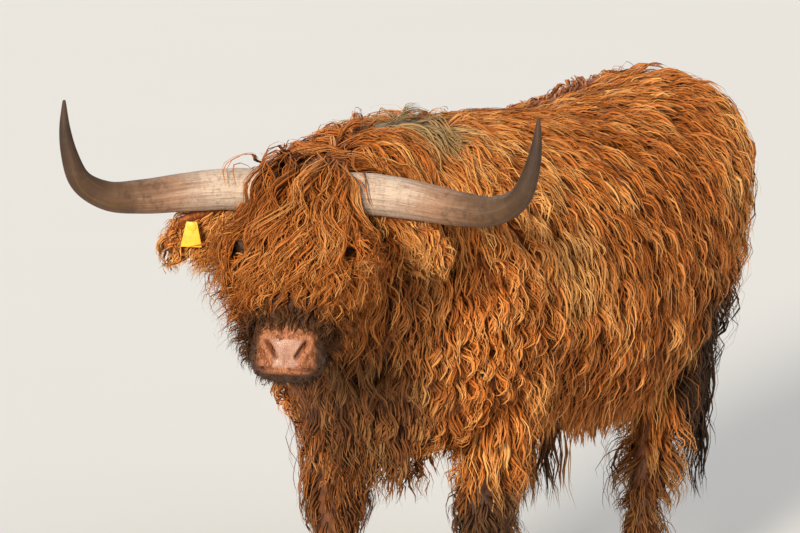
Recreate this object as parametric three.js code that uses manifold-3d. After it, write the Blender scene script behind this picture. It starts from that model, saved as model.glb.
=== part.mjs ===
// A highland cow, life size: it stands still with its head turned a little to its left.
// Millimetres, +Z up. The animal faces -Y and its left side is +X. The origin is on the floor, under the
// middle of the model's box. Each form is a smooth tube over a few key sections, given for the bare skin.
// The coat is a core over the skin, half as deep as the hair, and flat locks that reach its full depth.
import * as THREE from "three";
import { mergeVertices } from "three/addons/utils/BufferGeometryUtils.js";
import Module from "manifold-3d";

const wasm = await Module();
wasm.setup();

// Driving dimensions of the bare animal.
const HIP_HEIGHT = 1178; // floor to the top of the rump
const BARREL_DEPTH = 660; // top line to belly, at the widest ribs
const BARREL_WIDTH = 650;
const CHEST_FRONT = -745; // how far forward of the middle the breast reaches
const RUMP_BACK = 835; // how far back the buttocks reach
const HEAD_AT = [30, -977, 1152]; // the middle of the head, between the horn roots
const HEAD_LENGTH = 400; // from there to the middle of the nose
const HEAD_TURN = THREE.MathUtils.degToRad(23); // to the animal's left
const HEAD_DROP = THREE.MathUtils.degToRad(41); // nose below the level
const HEAD_TILT = THREE.MathUtils.degToRad(1.5);
const HORN_ROOT = 42; // radius
const EYE_RADIUS = 20;
const KNEE_HEIGHT = 385;
const HOCK_HEIGHT = 440;
const FETLOCK_HEIGHT = 150;
const CORONET_HEIGHT = 70; // top of the claws
const GAP = 0.35; // kept between neighbouring pieces

const X = new THREE.Vector3(1, 0, 0);
const Y = new THREE.Vector3(0, 1, 0);
const Z = new THREE.Vector3(0, 0, 1);
const FORWARD = Y.clone().negate();
const DOWN = Z.clone().negate();

// ---------------------------------------------------------------- closed solids

// A three.js geometry as a manifold-3d solid, turned right side out if its rings ran the other way.
function solid(geometry) {
  const bare = geometry.clone();
  bare.deleteAttribute("normal");
  bare.deleteAttribute("uv");
  const merged = mergeVertices(bare, 1e-4);
  const triVerts = new Uint32Array(merged.index.array);
  const vertProperties = new Float32Array(merged.attributes.position.array);
  const made = new wasm.Manifold(new wasm.Mesh({ numProp: 3, vertProperties, triVerts }));
  if (made.volume() > 0) return made;
  for (let i = 0; i < triVerts.length; i += 3) {
    [triVerts[i + 1], triVerts[i + 2]] = [triVerts[i + 2], triVerts[i + 1]];
  }
  return new wasm.Manifold(new wasm.Mesh({ numProp: 3, vertProperties, triVerts }));
}

// A solid as a three.js geometry, keeping only its largest closed body.
function geometryOf(made) {
  const bodies = made.decompose().sort((a, b) => b.volume() - a.volume());
  const mesh = bodies[0].getMesh();
  const geometry = new THREE.BufferGeometry();
  geometry.setAttribute("position", new THREE.BufferAttribute(new Float32Array(mesh.vertProperties), 3));
  geometry.setIndex(new THREE.BufferAttribute(new Uint32Array(mesh.triVerts), 1));
  geometry.computeVertexNormals();
  return geometry;
}

const union = (solids) => wasm.Manifold.union(solids);

// A closed skin over rings of points: a sphere's rings are moved onto them and its poles to the two ends.
function skinOver(rings, start, end) {
  const sides = rings[0].length;
  const ball = new THREE.SphereGeometry(1, sides, rings.length + 1);
  const place = ball.attributes.position;
  for (let row = 0; row <= rings.length + 1; row++) {
    for (let i = 0; i <= sides; i++) {
      const p = row === 0 ? start : row > rings.length ? end : rings[row - 1][i % sides];
      place.setXYZ(row * (sides + 1) + i, p.x, p.y, p.z);
    }
  }
  return ball;
}

// ---------------------------------------------------------------- forms

// A smooth tube over key sections. A key has at, the path's point, reach, how far the skin lies to the
// side, up and down from it, and coat, the coat's depth in the same three directions.
class Form {
  constructor(keys, options = {}) {
    const { upward = Z, along = null, sides = 16, perKey = 2, square = 2.2 } = options;
    const { coat = [0, 0, 0], domes = [0.25, 0.25], place = new THREE.Matrix4() } = options;
    const curve = (rows) => new THREE.CatmullRomCurve3(rows.map((row) => new THREE.Vector3(...row)));
    this.path = curve(keys.map((key) => key.at));
    this.sizes = curve(keys.map((key) => key.reach));
    this.coats = curve(keys.map((key) => key.coat ?? coat));
    Object.assign(this, { upward, along, sides, square, domes, place });
    this.rings = (keys.length - 1) * perKey + 1;
    // Which way round the section the animal's left is.
    const ahead = along ?? this.path.getTangent(0.5);
    this.leftward = Math.sign(new THREE.Vector3().crossVectors(ahead, upward).x);
  }

  // The section at t, from 0 to 1 along the path, with the coat counted to a share of its depth.
  section(t, share) {
    const along = this.along ?? this.path.getTangent(t);
    const side = new THREE.Vector3().crossVectors(along, this.upward).normalize();
    const up = new THREE.Vector3().crossVectors(side, along);
    const reach = this.sizes.getPoint(t).addScaledVector(this.coats.getPoint(t), share);
    return { centre: this.path.getPoint(t), along, side, up, reach };
  }

  point(t, angle, share = 0, grow = 0) {
    const { centre, side, up, reach } = this.section(t, share);
    const power = 2 / this.square;
    const bent = (v) => Math.sign(v) * Math.abs(v) ** power;
    const c = Math.cos(angle);
    const s = Math.sin(angle);
    const rise = s > 0 ? reach.y : reach.z;
    return centre
      .addScaledVector(side, bent(c) * (reach.x + grow))
      .addScaledVector(up, bent(s) * (rise + grow))
      .applyMatrix4(this.place);
  }

  ring(t, share, grow) {
    return Array.from({ length: this.sides }, (_, i) => {
      return this.point(t, (i / this.sides) * 2 * Math.PI, share, grow);
    });
  }

  // One end of the tube, domed a little past its last section.
  pole(t, share, grow) {
    const { centre, along, reach } = this.section(t, share);
    const sign = t > 0.5 ? 1 : -1;
    const dome = this.domes[t > 0.5 ? 1 : 0] * (reach.x + grow) + grow;
    return centre.addScaledVector(along, sign * dome).applyMatrix4(this.place);
  }

  solid(share = 0, grow = 0) {
    const steps = Array.from({ length: this.rings }, (_, i) => i / (this.rings - 1));
    const rings = steps.map((t) => this.ring(t, share, grow));
    return solid(skinOver(rings, this.pole(0, share, grow), this.pole(1, share, grow)));
  }
}

// ---------------------------------------------------------------- locks of hair

const CORE = 0.5; // the share of the coat's depth that the core fills

// Random numbers between two limits, the same at every run.
function dice(seed) {
  let state = seed;
  return (low, high) => {
    state = (state * 1664525 + 1013904223) % 4294967296;
    return low + ((high - low) * state) / 4294967296;
  };
}

// A lock's path over a form, from its root to its tip. It starts at a share u of the form's length and at
// an angle round it from the top, on the left or right. lie is how far it turns from straight round the
// form towards the form's far end. curl and its phase wave it, its root is sunk by a share of the coat's
// depth, the tip sinks by hang, a level lock faces sideways, and it bends clear of each obstacle, a ray
// with a radius.
const WALK = 10;

function walk(form, spec) {
  const { mirror, length, lie, curl, phase } = spec;
  const { hang = 0, level = false, sunk = 0.1, obstacles = [] } = spec;
  let { u, round } = spec;
  const stations = [];
  const total = form.path.getLength();
  for (let i = 0; i <= WALK; i++) {
    const s = i / WALK;
    const t = form.path.getUtoTmapping(THREE.MathUtils.clamp(u, 0.005, 0.995));
    const angle = Math.PI / 2 - form.leftward * mirror * round;
    const share = sunk + (1 - sunk) * s ** 0.6;
    const at = form.point(t, angle, share);
    const out = form.point(t, angle, share + 1, 1).sub(at).normalize();
    if (level) out.setZ(0).normalize();
    at.addScaledVector(Z, -hang * s * s);
    obstacles.forEach((ray) => bendClear(at, ray, spec.wide * 0.3));
    stations.push({ at, out });
    const pace = form.point(t, angle + 0.02).distanceTo(form.point(t, angle)) / 0.02;
    const heading = lie + curl * Math.sin(2 * Math.PI * (1.2 * s + phase));
    round += ((length / WALK) * Math.cos(heading)) / Math.max(pace, 25);
    u += ((length / WALK) * Math.sin(heading)) / total;
  }
  // Each station leans half way to the middle one, so that a lock turns evenly over a sharp bend.
  const middle = stations[WALK / 2].out.clone();
  stations.forEach((station) => station.out.add(middle).normalize());
  return stations;
}

function bendClear(at, { origin, along, radius }, margin) {
  const off = at.clone().sub(origin);
  const reach = off.dot(along);
  if (reach < -radius) return;
  off.addScaledVector(along, -reach);
  const short = radius + margin - off.length();
  if (short > 0) at.addScaledVector(off.normalize(), short);
}

// A flat tapered lock over the stations of a path: a low ridge on a flat underside. Each of its rings has
// a station and a share of the full width.
const LOCK_RINGS = [
  [0, 0.62],
  [4, 1],
  [7, 0.72],
];

function lock(stations, { wide, thick }, grow) {
  const at = (i) => stations[THREE.MathUtils.clamp(i, 0, WALK)].at;
  const sections = LOCK_RINGS.map(([i, full]) => {
    const along = at(i + 1).clone().sub(at(i - 1)).normalize();
    const across = new THREE.Vector3().crossVectors(along, stations[i].out).normalize();
    const up = new THREE.Vector3().crossVectors(across, along);
    const half = (wide / 2) * full + 12 * grow;
    const high = 0.6 * thick * full + 1.6 * grow;
    const low = 0.4 * thick * full + 1.2 * grow;
    return [
      at(i).clone().addScaledVector(across, half).addScaledVector(up, -low),
      at(i).clone().addScaledVector(up, high),
      at(i).clone().addScaledVector(across, -half).addScaledVector(up, -low),
    ];
  });
  const end = at(WALK).clone().sub(at(WALK - 1)).normalize();
  const start = at(0).clone().sub(at(1)).normalize();
  const tip = at(WALK).clone().addScaledVector(end, 8 * grow);
  const root = at(0).clone().addScaledVector(start, 4 + 2 * grow);
  return solid(skinOver(sections, root, tip));
}

// Locks on a form, each a walk's settings with its width and thickness, joined to the form's core.
function coated(form, specs, grow, core = form.solid(CORE, grow)) {
  return union([core, ...specs.map((spec) => lock(walk(form, spec), spec, grow))]);
}

// ---------------------------------------------------------------- torso and neck

const hipDrop = (z) => HIP_HEIGHT - z;
const deep = BARREL_DEPTH / 2;
const broad = BARREL_WIDTH / 2;

// Sections of the torso: how far back, the height of the widest level, and the reach from it.
const torso = new Form(
  [
    { at: [0, CHEST_FRONT, hipDrop(350)], reach: [0.34 * broad, 0.4 * deep, 0.42 * deep] },
    { at: [0, -690, hipDrop(344)], reach: [0.6 * broad, 0.68 * deep, 0.74 * deep] },
    { at: [0, -600, hipDrop(330)], reach: [0.83 * broad, 0.95 * deep, 0.9 * deep] },
    { at: [0, -470, hipDrop(320)], reach: [0.9 * broad, 1.08 * deep, 0.76 * deep] },
    { at: [0, -300, hipDrop(318)], reach: [0.9 * broad, 1.06 * deep, 0.76 * deep] },
    { at: [0, -90, hipDrop(326)], reach: [0.96 * broad, 1.04 * deep, 0.9 * deep] },
    { at: [0, 130, hipDrop(328)], reach: [broad, 0.97 * deep, 1.0 * deep] },
    { at: [0, 320, hipDrop(310)], reach: [0.97 * broad, 0.91 * deep, 1.1 * deep] },
    { at: [0, 480, hipDrop(272)], reach: [0.92 * broad, 0.82 * deep, 1.08 * deep] },
    { at: [0, 620, hipDrop(230)], reach: [0.84 * broad, 0.73 * deep, 0.88 * deep] },
    { at: [0, 740, hipDrop(196)], reach: [0.68 * broad, 0.61 * deep, 0.66 * deep] },
    { at: [0, 810, hipDrop(196)], reach: [0.46 * broad, 0.44 * deep, 0.44 * deep] },
    { at: [0, RUMP_BACK, hipDrop(196)], reach: [0.2 * broad, 0.18 * deep, 0.2 * deep] },
  ],
  { along: Y, sides: 20, perKey: 2, square: 2.35, coat: [44, 26, 80] },
);

// The neck runs from inside the breast up to the back of the head, and turns with it.
const neck = new Form(
  [
    { at: [0, -420, 920], reach: [190, 300, 290] },
    { at: [2, -570, 945], reach: [186, 300, 275] },
    { at: [6, -710, 990], reach: [168, 258, 235] },
    { at: [18, -820, 1035], reach: [146, 215, 190] },
    { at: [40, -910, 1075], reach: [125, 145, 150] },
  ],
  { sides: 18, perKey: 2, square: 2.1, coat: [50, 36, 46], domes: [0.1, 0.4] },
);

// ---------------------------------------------------------------- head

// The head is made level, with its nose towards -Y, and then dropped, tilted and turned as one.
const headPlace = new THREE.Matrix4().compose(
  new THREE.Vector3(...HEAD_AT),
  new THREE.Quaternion().setFromEuler(new THREE.Euler(HEAD_DROP, HEAD_TILT, HEAD_TURN, "ZYX")),
  new THREE.Vector3(1, 1, 1),
);

const nose = (share) => -share * HEAD_LENGTH;

const skull = new Form(
  [
    { at: [0, nose(-0.17), -70], reach: [66, 74, 60], coat: [40, 40, 22] },
    { at: [0, nose(-0.06), -66], reach: [108, 114, 105], coat: [42, 42, 24] },
    { at: [0, nose(0.12), -66], reach: [122, 122, 122], coat: [42, 44, 26] },
    { at: [0, nose(0.36), -60], reach: [116, 110, 122], coat: [48, 36, 26] },
    { at: [0, nose(0.55), -56], reach: [92, 90, 106], coat: [64, 28, 26] },
    { at: [0, nose(0.74), -50], reach: [72, 68, 76], coat: [54, 18, 20] },
    { at: [0, nose(0.88), -54], reach: [73, 58, 60], coat: [14, 6, 8] },
    { at: [0, nose(0.96), -60], reach: [74, 44, 50], coat: [0, 0, 0] },
    { at: [0, nose(1.02), -66], reach: [60, 24, 34], coat: [0, 0, 0] },
  ],
  { along: FORWARD, sides: 20, perKey: 2, square: 2.4, domes: [0.3, 0.16], place: headPlace },
);

// A direction given upright, as the standing animal has it, in the level head's own frame.
const upright = (out, forward, up) => new THREE.Vector3(out, -forward, up).applyAxisAngle(X, -HEAD_DROP);

// The horn goes level out of the head, sinks a little, and turns up and forward to its tip.
const HORN_PATH = [
  [95, -4, 2, 1],
  [160, 2, 0, 1],
  [240, 18, -7, 0.93],
  [320, 48, -14, 0.83],
  [390, 78, -10, 0.7],
  [438, 98, 20, 0.56],
  [460, 108, 74, 0.41],
  [470, 112, 130, 0.26],
  [472, 110, 180, 0.09],
];

function horn(mirror) {
  const keys = HORN_PATH.map(([out, forward, up, taper]) => ({
    at: upright(mirror * out, forward, up).toArray(),
    reach: [taper, taper, taper].map((v) => v * HORN_ROOT),
  }));
  return new Form(keys, { upward: Y, sides: 8, perKey: 2, square: 2, domes: [0.1, 1.2], place: headPlace });
}

// The ear is a broad leaf that stands out below the horn; its cup opens forward.
const EAR_PATH = [
  [108, -34, -62, 26, 22],
  [140, -34, -72, 42, 26],
  [190, -32, -88, 54, 24],
  [240, -28, -106, 46, 18],
  [282, -22, -122, 20, 10],
];

function ear(mirror, inset) {
  const keys = EAR_PATH.map(([out, forward, up, broad, thick]) => ({
    at: upright(mirror * out, forward + inset * 14, up).toArray(),
    reach: [thick, broad, broad].map((v) => v * (1 - 0.3 * inset)),
  }));
  return new Form(keys, {
    upward: upright(0, 0.25, 1),
    sides: 10,
    perKey: 1,
    coat: [6, 10, 26],
    domes: [0.2, 0.6],
    place: headPlace,
  });
}

// The eye looks out to the side, forward and a little up.
const eyeAt = (mirror) => new THREE.Vector3(mirror * 108, nose(0.37), 4);
const gaze = (mirror) => new THREE.Vector3(mirror * 0.84, -0.42, 0.34).normalize();

function ball(radius, centre) {
  return solid(new THREE.SphereGeometry(radius, 10, 7).translate(...centre));
}

function eye(mirror, grow) {
  return ball(EYE_RADIUS + grow, eyeAt(mirror).applyMatrix4(headPlace));
}

// The way out from the eye through the hair is a widening round opening.
function socket(mirror) {
  const opening = [
    [0, 0.9],
    [18, 1.05],
    [90, 2.6],
  ];
  const keys = opening.map(([out, wide]) => ({
    at: eyeAt(mirror).addScaledVector(gaze(mirror), out).toArray(),
    reach: [wide, wide, wide].map((v) => v * EYE_RADIUS),
  }));
  return new Form(keys, { sides: 9, perKey: 1, square: 2, domes: [0.3, 0.1], place: headPlace }).solid();
}

// Lids: a fold over and a fold under each eye, thick in the middle and thin at the corners.
function lid(mirror, rise, grow) {
  const look = gaze(mirror);
  const across = new THREE.Vector3().crossVectors(look, Z).normalize().multiplyScalar(mirror);
  const up = new THREE.Vector3().crossVectors(across, look).multiplyScalar(mirror);
  const keys = [-1.3, -0.65, 0, 0.65, 1.3].map((turn) => {
    const wide = EYE_RADIUS + 3;
    const lift = rise * Math.cos(turn) * 0.62;
    const at = eyeAt(mirror)
      .addScaledVector(look, 7 + 7 * Math.cos(turn))
      .addScaledVector(across, Math.sin(turn) * wide)
      .addScaledVector(up, lift * wide);
    const thick = 3 + 3.5 * Math.cos(turn) + grow;
    return { at: at.toArray(), reach: [thick * 1.5, thick, thick] };
  });
  return new Form(keys, { upward: look, sides: 5, perKey: 1, square: 2, place: headPlace }).solid();
}

// The bare pad of the nose is the part of the muzzle's front that lies within a flattened ball. Each
// nostril is a comma-shaped hollow in the pad's upper corner.
function nosePad(grow) {
  const zone = new THREE.SphereGeometry(1, 12, 8);
  zone.scale(48 + grow, 44 + grow, 28 + grow);
  zone.translate(0, nose(1.02), -24);
  return skull.solid(CORE, grow).intersect(solid(zone.applyMatrix4(headPlace)));
}

function nostril(mirror) {
  const keys = [
    { at: [mirror * 25, nose(0.9), -38], reach: [6, 9, 9] },
    { at: [mirror * 31, nose(0.95), -25], reach: [8, 11, 11] },
    { at: [mirror * 38, nose(1.01), -10], reach: [10, 12, 12] },
  ];
  return new Form(keys, { sides: 8, perKey: 1, place: headPlace }).solid();
}

// The line of the mouth runs round the muzzle, a little higher in the middle than at its corners.
const MOUTH = [
  [-78, 0.78, -88],
  [-80, 0.88, -80],
  [-70, 0.97, -70],
  [-38, 1.03, -61],
  [0, 1.045, -56],
  [38, 1.03, -61],
  [70, 0.97, -70],
  [80, 0.88, -80],
  [78, 0.78, -88],
];

function mouth() {
  const keys = MOUTH.map(([out, ahead, up]) => ({ at: [out, nose(ahead), up], reach: [11, 3, 3] }));
  return new Form(keys, { sides: 6, perKey: 1, place: headPlace }).solid();
}

// The tag is a flat tab in front of the right ear, on a pin that goes through to a button behind it.
const TAG = { wide: 44, tall: 52, thick: 3, pin: 4, button: 13, behind: 52 };

function earTag(grow) {
  const w = TAG.wide / 2 + grow;
  const low = -TAG.tall * 0.82 - grow;
  const high = TAG.tall * 0.18 + grow;
  const outline = new THREE.Shape();
  outline.moveTo(-w, low).lineTo(w, low).lineTo(w, 0.4 * low).lineTo(0.5 * w, high);
  outline.lineTo(-0.5 * w, high).lineTo(-w, 0.4 * low).closePath();
  const depth = TAG.thick + 2 * grow;
  const tab = new THREE.ExtrudeGeometry(outline, { depth, bevelEnabled: false });
  tab.translate(0, 0, -grow).rotateX(Math.PI / 2);
  const pin = new THREE.CylinderGeometry(TAG.pin + grow, TAG.pin + grow, TAG.behind, 6);
  pin.translate(0, TAG.behind / 2 - 1, 0);
  const button = new THREE.CylinderGeometry(TAG.button + grow, TAG.button + grow, depth, 12);
  button.translate(0, TAG.behind, 0);
  const place = new THREE.Matrix4().makeRotationX(-HEAD_DROP).setPosition(upright(-226, 2, -78));
  const parts = [tab, pin, button];
  return union(parts.map((part) => solid(part.applyMatrix4(place).applyMatrix4(headPlace))));
}

// ---------------------------------------------------------------- legs

// A leg's two lengths meet at the knee or hock. Both are cut level, and the lower one stands on the claws.
function leg({ mirror, upper, lower, upperCoat, lowerCoat }) {
  const keysOf = (rows) =>
    rows.map(([out, back, height, broad, behind, ahead]) => ({
      at: [mirror * out, back, height],
      reach: [broad, behind, ahead],
    }));
  const options = { upward: Y, along: DOWN, sides: 12, perKey: 1, square: 2 };
  return {
    upper: new Form(keysOf(upper), { ...options, coat: upperCoat, domes: [0.3, 0] }),
    lower: new Form(keysOf(lower), { ...options, coat: lowerCoat, domes: [0, 0] }),
  };
}

// step is how far the foot is set back from the usual place.
function foreLeg(mirror, step) {
  return leg({
    mirror,
    upper: [
      [170, -480, 800, 90, 120, 110],
      [188, -455, 700, 82, 104, 96],
      [182, -440 + 0.3 * step, 590, 60, 78, 68],
      [168, -445 + 0.6 * step, 480, 47, 58, 54],
      [160, -455 + 0.9 * step, KNEE_HEIGHT, 46, 48, 52],
    ],
    lower: [
      [160, -455 + 0.9 * step, KNEE_HEIGHT - GAP, 46, 48, 52],
      [158, -455 + 0.95 * step, KNEE_HEIGHT - 60, 37, 40, 42],
      [158, -452 + step, 250, 27, 33, 31],
      [158, -454 + step, FETLOCK_HEIGHT + 10, 34, 42, 36],
      [158, -466 + step, 110, 33, 36, 38],
      [158, -476 + step, CORONET_HEIGHT + GAP, 44, 46, 54],
    ],
    upperCoat: [36, 46, 24],
    lowerCoat: [16, 20, 14],
  });
}

function hindLeg(mirror, step) {
  return leg({
    mirror,
    upper: [
      [150, 520, 980, 120, 190, 190],
      [172, 500 + 0.1 * step, 860, 118, 190, 175],
      [182, 500 + 0.3 * step, 720, 98, 140, 128],
      [176, 555 + 0.6 * step, 590, 64, 92, 82],
      [168, 605 + 0.85 * step, HOCK_HEIGHT + 50, 42, 60, 54],
      [166, 622 + 0.95 * step, HOCK_HEIGHT, 42, 52, 50],
    ],
    lower: [
      [166, 622 + 0.95 * step, HOCK_HEIGHT - GAP, 42, 52, 50],
      [163, 612 + step, HOCK_HEIGHT - 70, 35, 42, 42],
      [160, 590 + step, 270, 28, 34, 34],
      [160, 568 + step, FETLOCK_HEIGHT + 10, 35, 42, 37],
      [160, 552 + step, 110, 33, 37, 38],
      [160, 540 + step, CORONET_HEIGHT + GAP, 43, 46, 52],
    ],
    upperCoat: [34, 40, 40],
    lowerCoat: [24, 26, 20],
  });
}

// A claw is half of the cloven hoof: a wedge that is flat under and pointed in front.
function claw([x, y], mirror) {
  const at = (height, lean) => [x + mirror * 25, y - lean, height];
  const keys = [
    { at: at(CORONET_HEIGHT, 0), reach: [20, 40, 42] },
    { at: at(0.12 * CORONET_HEIGHT, 22), reach: [23, 54, 62] },
    { at: at(0, 24), reach: [21, 52, 58] },
  ];
  return new Form(keys, { upward: Y, along: DOWN, sides: 10, perKey: 1, square: 2.3, domes: [0, 0] });
}

// A dewclaw is a small cone of horn on the back of the fetlock.
function dewclaw([x, y], mirror, behind) {
  const keys = [
    { at: [x + mirror * 20, y + behind, 128], reach: [11, 11, 11] },
    { at: [x + mirror * 22, y + behind + 16, 112], reach: [11, 11, 11] },
    { at: [x + mirror * 23, y + behind + 24, 92], reach: [5, 5, 5] },
  ];
  return new Form(keys, { upward: X, sides: 6, perKey: 1, domes: [0.1, 0.5] });
}

// ---------------------------------------------------------------- tail

const dock = new Form(
  [
    { at: [0, 785, 1085], reach: [38, 38, 30] },
    { at: [6, 850, 1060], reach: [34, 32, 28] },
    { at: [18, 890, 950], reach: [28, 26, 26] },
    { at: [30, 898, 800], reach: [22, 22, 22] },
    { at: [40, 896, 650], reach: [20, 20, 20] },
  ],
  { upward: Y, sides: 8, perKey: 1, coat: [14, 14, 14], domes: [0.2, 0.1] },
);

const tailSwitch = new Form(
  [
    { at: [40, 896, 650], reach: [22, 22, 22] },
    { at: [48, 892, 520], reach: [30, 28, 28] },
    { at: [54, 888, 380], reach: [30, 28, 28] },
    { at: [58, 884, 290], reach: [20, 20, 20] },
    { at: [60, 882, 240], reach: [7, 7, 7] },
  ],
  { upward: Y, sides: 8, perKey: 1, coat: [22, 22, 22], domes: [0.1, 0.6] },
);

// ---------------------------------------------------------------- coat

const degrees = THREE.MathUtils.degToRad;
const BOTH = [1, -1];

// Rows of locks on a form. Each row runs from one share of the form's length to another, and from turn, the
// angle from the top in degrees, over a fan of degrees. Every lock is varied a little.
function rows(seed, list) {
  const rand = dice(seed);
  return list.flatMap(({ from, to = from, count, turn, fan = 0, sides = BOTH, ...rest }) =>
    sides.flatMap((mirror) =>
      Array.from({ length: count }, (_, i) => {
        const share = count > 1 ? i / (count - 1) : 0.5;
        return {
          ...rest,
          mirror,
          u: from + (to - from) * share + rand(-0.012, 0.012),
          round: degrees(turn + fan * share + rand(-4, 4)),
          length: rest.length * rand(0.88, 1.14),
          lie: degrees(rest.lie + rand(-7, 7)),
          curl: rest.curl * rand(0.8, 1.2),
          phase: rand(0, 1),
          wide: rest.wide * rand(0.88, 1.12),
        };
      }),
    ),
  );
}

// The coat parts along the back, sweeps back and down over the ribs, and hangs straight at the belly.
const broadLock = { curl: 0.35, wide: 165, thick: 18 };
const hanging = { curl: 0.3, thick: 16, level: true };
const torsoLocks = rows(11, [
  { ...broadLock, from: 0.22, to: 0.84, count: 4, turn: 8, length: 340, lie: 44 },
  { ...broadLock, from: 0.16, to: 0.84, count: 5, turn: 36, length: 340, lie: 36 },
  { ...broadLock, from: 0.09, to: 0.85, count: 5, turn: 64, length: 340, lie: 24 },
  { ...broadLock, from: 0.07, to: 0.85, count: 5, turn: 90, length: 300, lie: 10, hang: 20 },
  { ...hanging, from: 0.2, to: 0.72, count: 5, turn: 114, length: 170, lie: 0, wide: 140, hang: 110 },
  { ...hanging, from: 0.48, to: 0.53, count: 2, turn: 168, length: 40, lie: 20, wide: 66, hang: 195 },
  { from: 0.03, count: 2, turn: 70, fan: 60, length: 210, lie: 4, curl: 0.5, wide: 100, thick: 16 },
  { from: 0.95, count: 2, turn: 34, fan: 46, length: 230, lie: 2, curl: 0.3, wide: 120, thick: 16 },
]);

// The mane falls from the crest over the shoulders; the throat and dewlap hang.
const neckLocks = rows(12, [
  { from: 0.3, to: 0.98, count: 4, turn: 9, length: 290, lie: -34, curl: 0.5, wide: 118, thick: 16 },
  { from: 0.5, to: 0.97, count: 3, turn: 50, length: 260, lie: -26, curl: 0.6, wide: 105, thick: 16 },
  { from: 0.68, to: 0.96, count: 2, turn: 92, length: 220, lie: -20, curl: 0.6, wide: 100, thick: 16 },
]);

// The forelock spreads from the poll over the brow; wavy locks cover the face down to the muzzle. They
// bend clear of the eyes and of the horns' roots.
const rayFrom = (origin, along, radius) => ({
  origin: origin.clone().applyMatrix4(headPlace),
  along: along.clone().transformDirection(headPlace),
  radius,
});
const headObstacles = BOTH.flatMap((mirror) => [
  rayFrom(eyeAt(mirror), gaze(mirror), 1.2 * EYE_RADIUS),
  rayFrom(upright(mirror * 80, 0, 0), upright(mirror, 0, 0), HORN_ROOT),
]);
const loose = { curl: 0.55, obstacles: headObstacles };
const headLocks = rows(22, [
  { ...loose, from: 0.02, count: 3, turn: 7, fan: 50, length: 235, lie: 74, wide: 72, thick: 15 },
  { ...loose, from: 0.24, count: 3, turn: 9, fan: 56, length: 190, lie: 76, wide: 66, thick: 14 },
  { ...loose, from: 0.44, count: 2, turn: 11, fan: 44, length: 150, lie: 80, wide: 60, thick: 12 },
  { ...loose, from: 0.62, count: 1, turn: 20, length: 100, lie: 84, wide: 62, thick: 10 },
  { ...loose, from: 0.34, to: 0.6, count: 2, turn: 98, length: 130, lie: 38, wide: 72, thick: 12 },
]);

// A fringe hangs from each ear's lower edge.
const fringe = { count: 3, sides: [1], length: 95, lie: 12, curl: 0.4, wide: 40, thick: 8, hang: 50 };
const earLocks = (seed) => rows(seed, [{ ...fringe, from: 0.3, to: 0.85, turn: 120 }]);

const feather = { lie: 84, curl: 0.3 };
const foreLocks = rows(21, [
  { ...feather, from: 0.5, to: 0.6, count: 2, turn: 25, fan: 120, length: 210, wide: 88, thick: 14 },
  { ...feather, from: 0.72, to: 0.8, count: 1, turn: 75, length: 150, wide: 72, thick: 12 },
]);
const hindLocks = rows(28, [
  { ...feather, from: 0.5, to: 0.58, count: 2, turn: 25, fan: 120, length: 200, wide: 96, thick: 14 },
]);
const lowerLocks = rows(23, [
  { ...feather, from: 0.3, count: 1, sides: [1], turn: 0, length: 120, wide: 56, thick: 10 },
  { ...feather, from: 0.66, count: 1, sides: [1], turn: 0, length: 85, wide: 58, thick: 10 },
]);
const dockLocks = rows(24, [
  { ...feather, from: 0.6, count: 1, turn: 60, length: 150, wide: 38, thick: 9 },
]);
const switchLocks = rows(25, [
  { ...feather, from: 0.1, to: 0.42, count: 2, turn: 35, fan: 90, length: 240, wide: 50, thick: 10 },
]);

// ---------------------------------------------------------------- nodes

const FOOT = { fore: [158, -476, 66], hind: [160, 540, 76] };
const STEPS = { fore_left: 15, fore_right: -55, hind_left: -220, hind_right: -320 };

const colours = {
  coat: new THREE.MeshStandardMaterial({ color: 0xa8602f, roughness: 0.85 }),
  dark_coat: new THREE.MeshStandardMaterial({ color: 0x5a3520, roughness: 0.85 }),
  horn: new THREE.MeshStandardMaterial({ color: 0xb9a08a, roughness: 0.45 }),
  claw: new THREE.MeshStandardMaterial({ color: 0x3a322c, roughness: 0.5 }),
  eye: new THREE.MeshStandardMaterial({ color: 0x120b08, roughness: 0.12 }),
  nose: new THREE.MeshStandardMaterial({ color: 0xc98b7c, roughness: 0.4 }),
  tag: new THREE.MeshStandardMaterial({ color: 0xf2b51a, roughness: 0.45 }),
};

// Nodes in the order in which they keep their place: each gives way to those before it.
const nodes = [];

function node(name, material, core) {
  nodes.push({ name, material, core });
}

for (const [side, mirror] of [["left", 1], ["right", -1]]) {
  const hornForm = horn(mirror);
  node(`eye_${side}`, colours.eye, (grow) => eye(mirror, grow));
  node(`horn_${side}`, colours.horn, (grow) => hornForm.solid(0, grow));
}
node("ear_tag", colours.tag, earTag);
for (const [end, build] of [["fore", foreLeg], ["hind", hindLeg]]) {
  for (const [side, mirror] of [["left", 1], ["right", -1]]) {
    const step = STEPS[`${end}_${side}`];
    const [out, back, behind] = FOOT[end];
    const foot = [mirror * out, back + step];
    for (const [place, lateral] of [["outer", mirror], ["inner", -mirror]]) {
      const clawForm = claw(foot, lateral);
      const dewclawForm = dewclaw(foot, lateral, behind);
      node(`${end}_${side}_claw_${place}`, colours.claw, (grow) => clawForm.solid(0, grow));
      node(`${end}_${side}_dewclaw_${place}`, colours.claw, (grow) => dewclawForm.solid(0, grow));
    }
  }
}
node("nose", colours.nose, (grow) => nosePad(grow).subtract(union([nostril(1), nostril(-1)])));
const hollows = union([socket(1), socket(-1), mouth()]);
node("head", colours.coat, (grow) => {
  const lids = BOTH.flatMap((mirror) => [lid(mirror, 1, grow), lid(mirror, -1, grow)]);
  const core = skull.solid(CORE, grow).subtract(hollows);
  return coated(skull, headLocks, grow, union([core, ...lids]));
});
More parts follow.
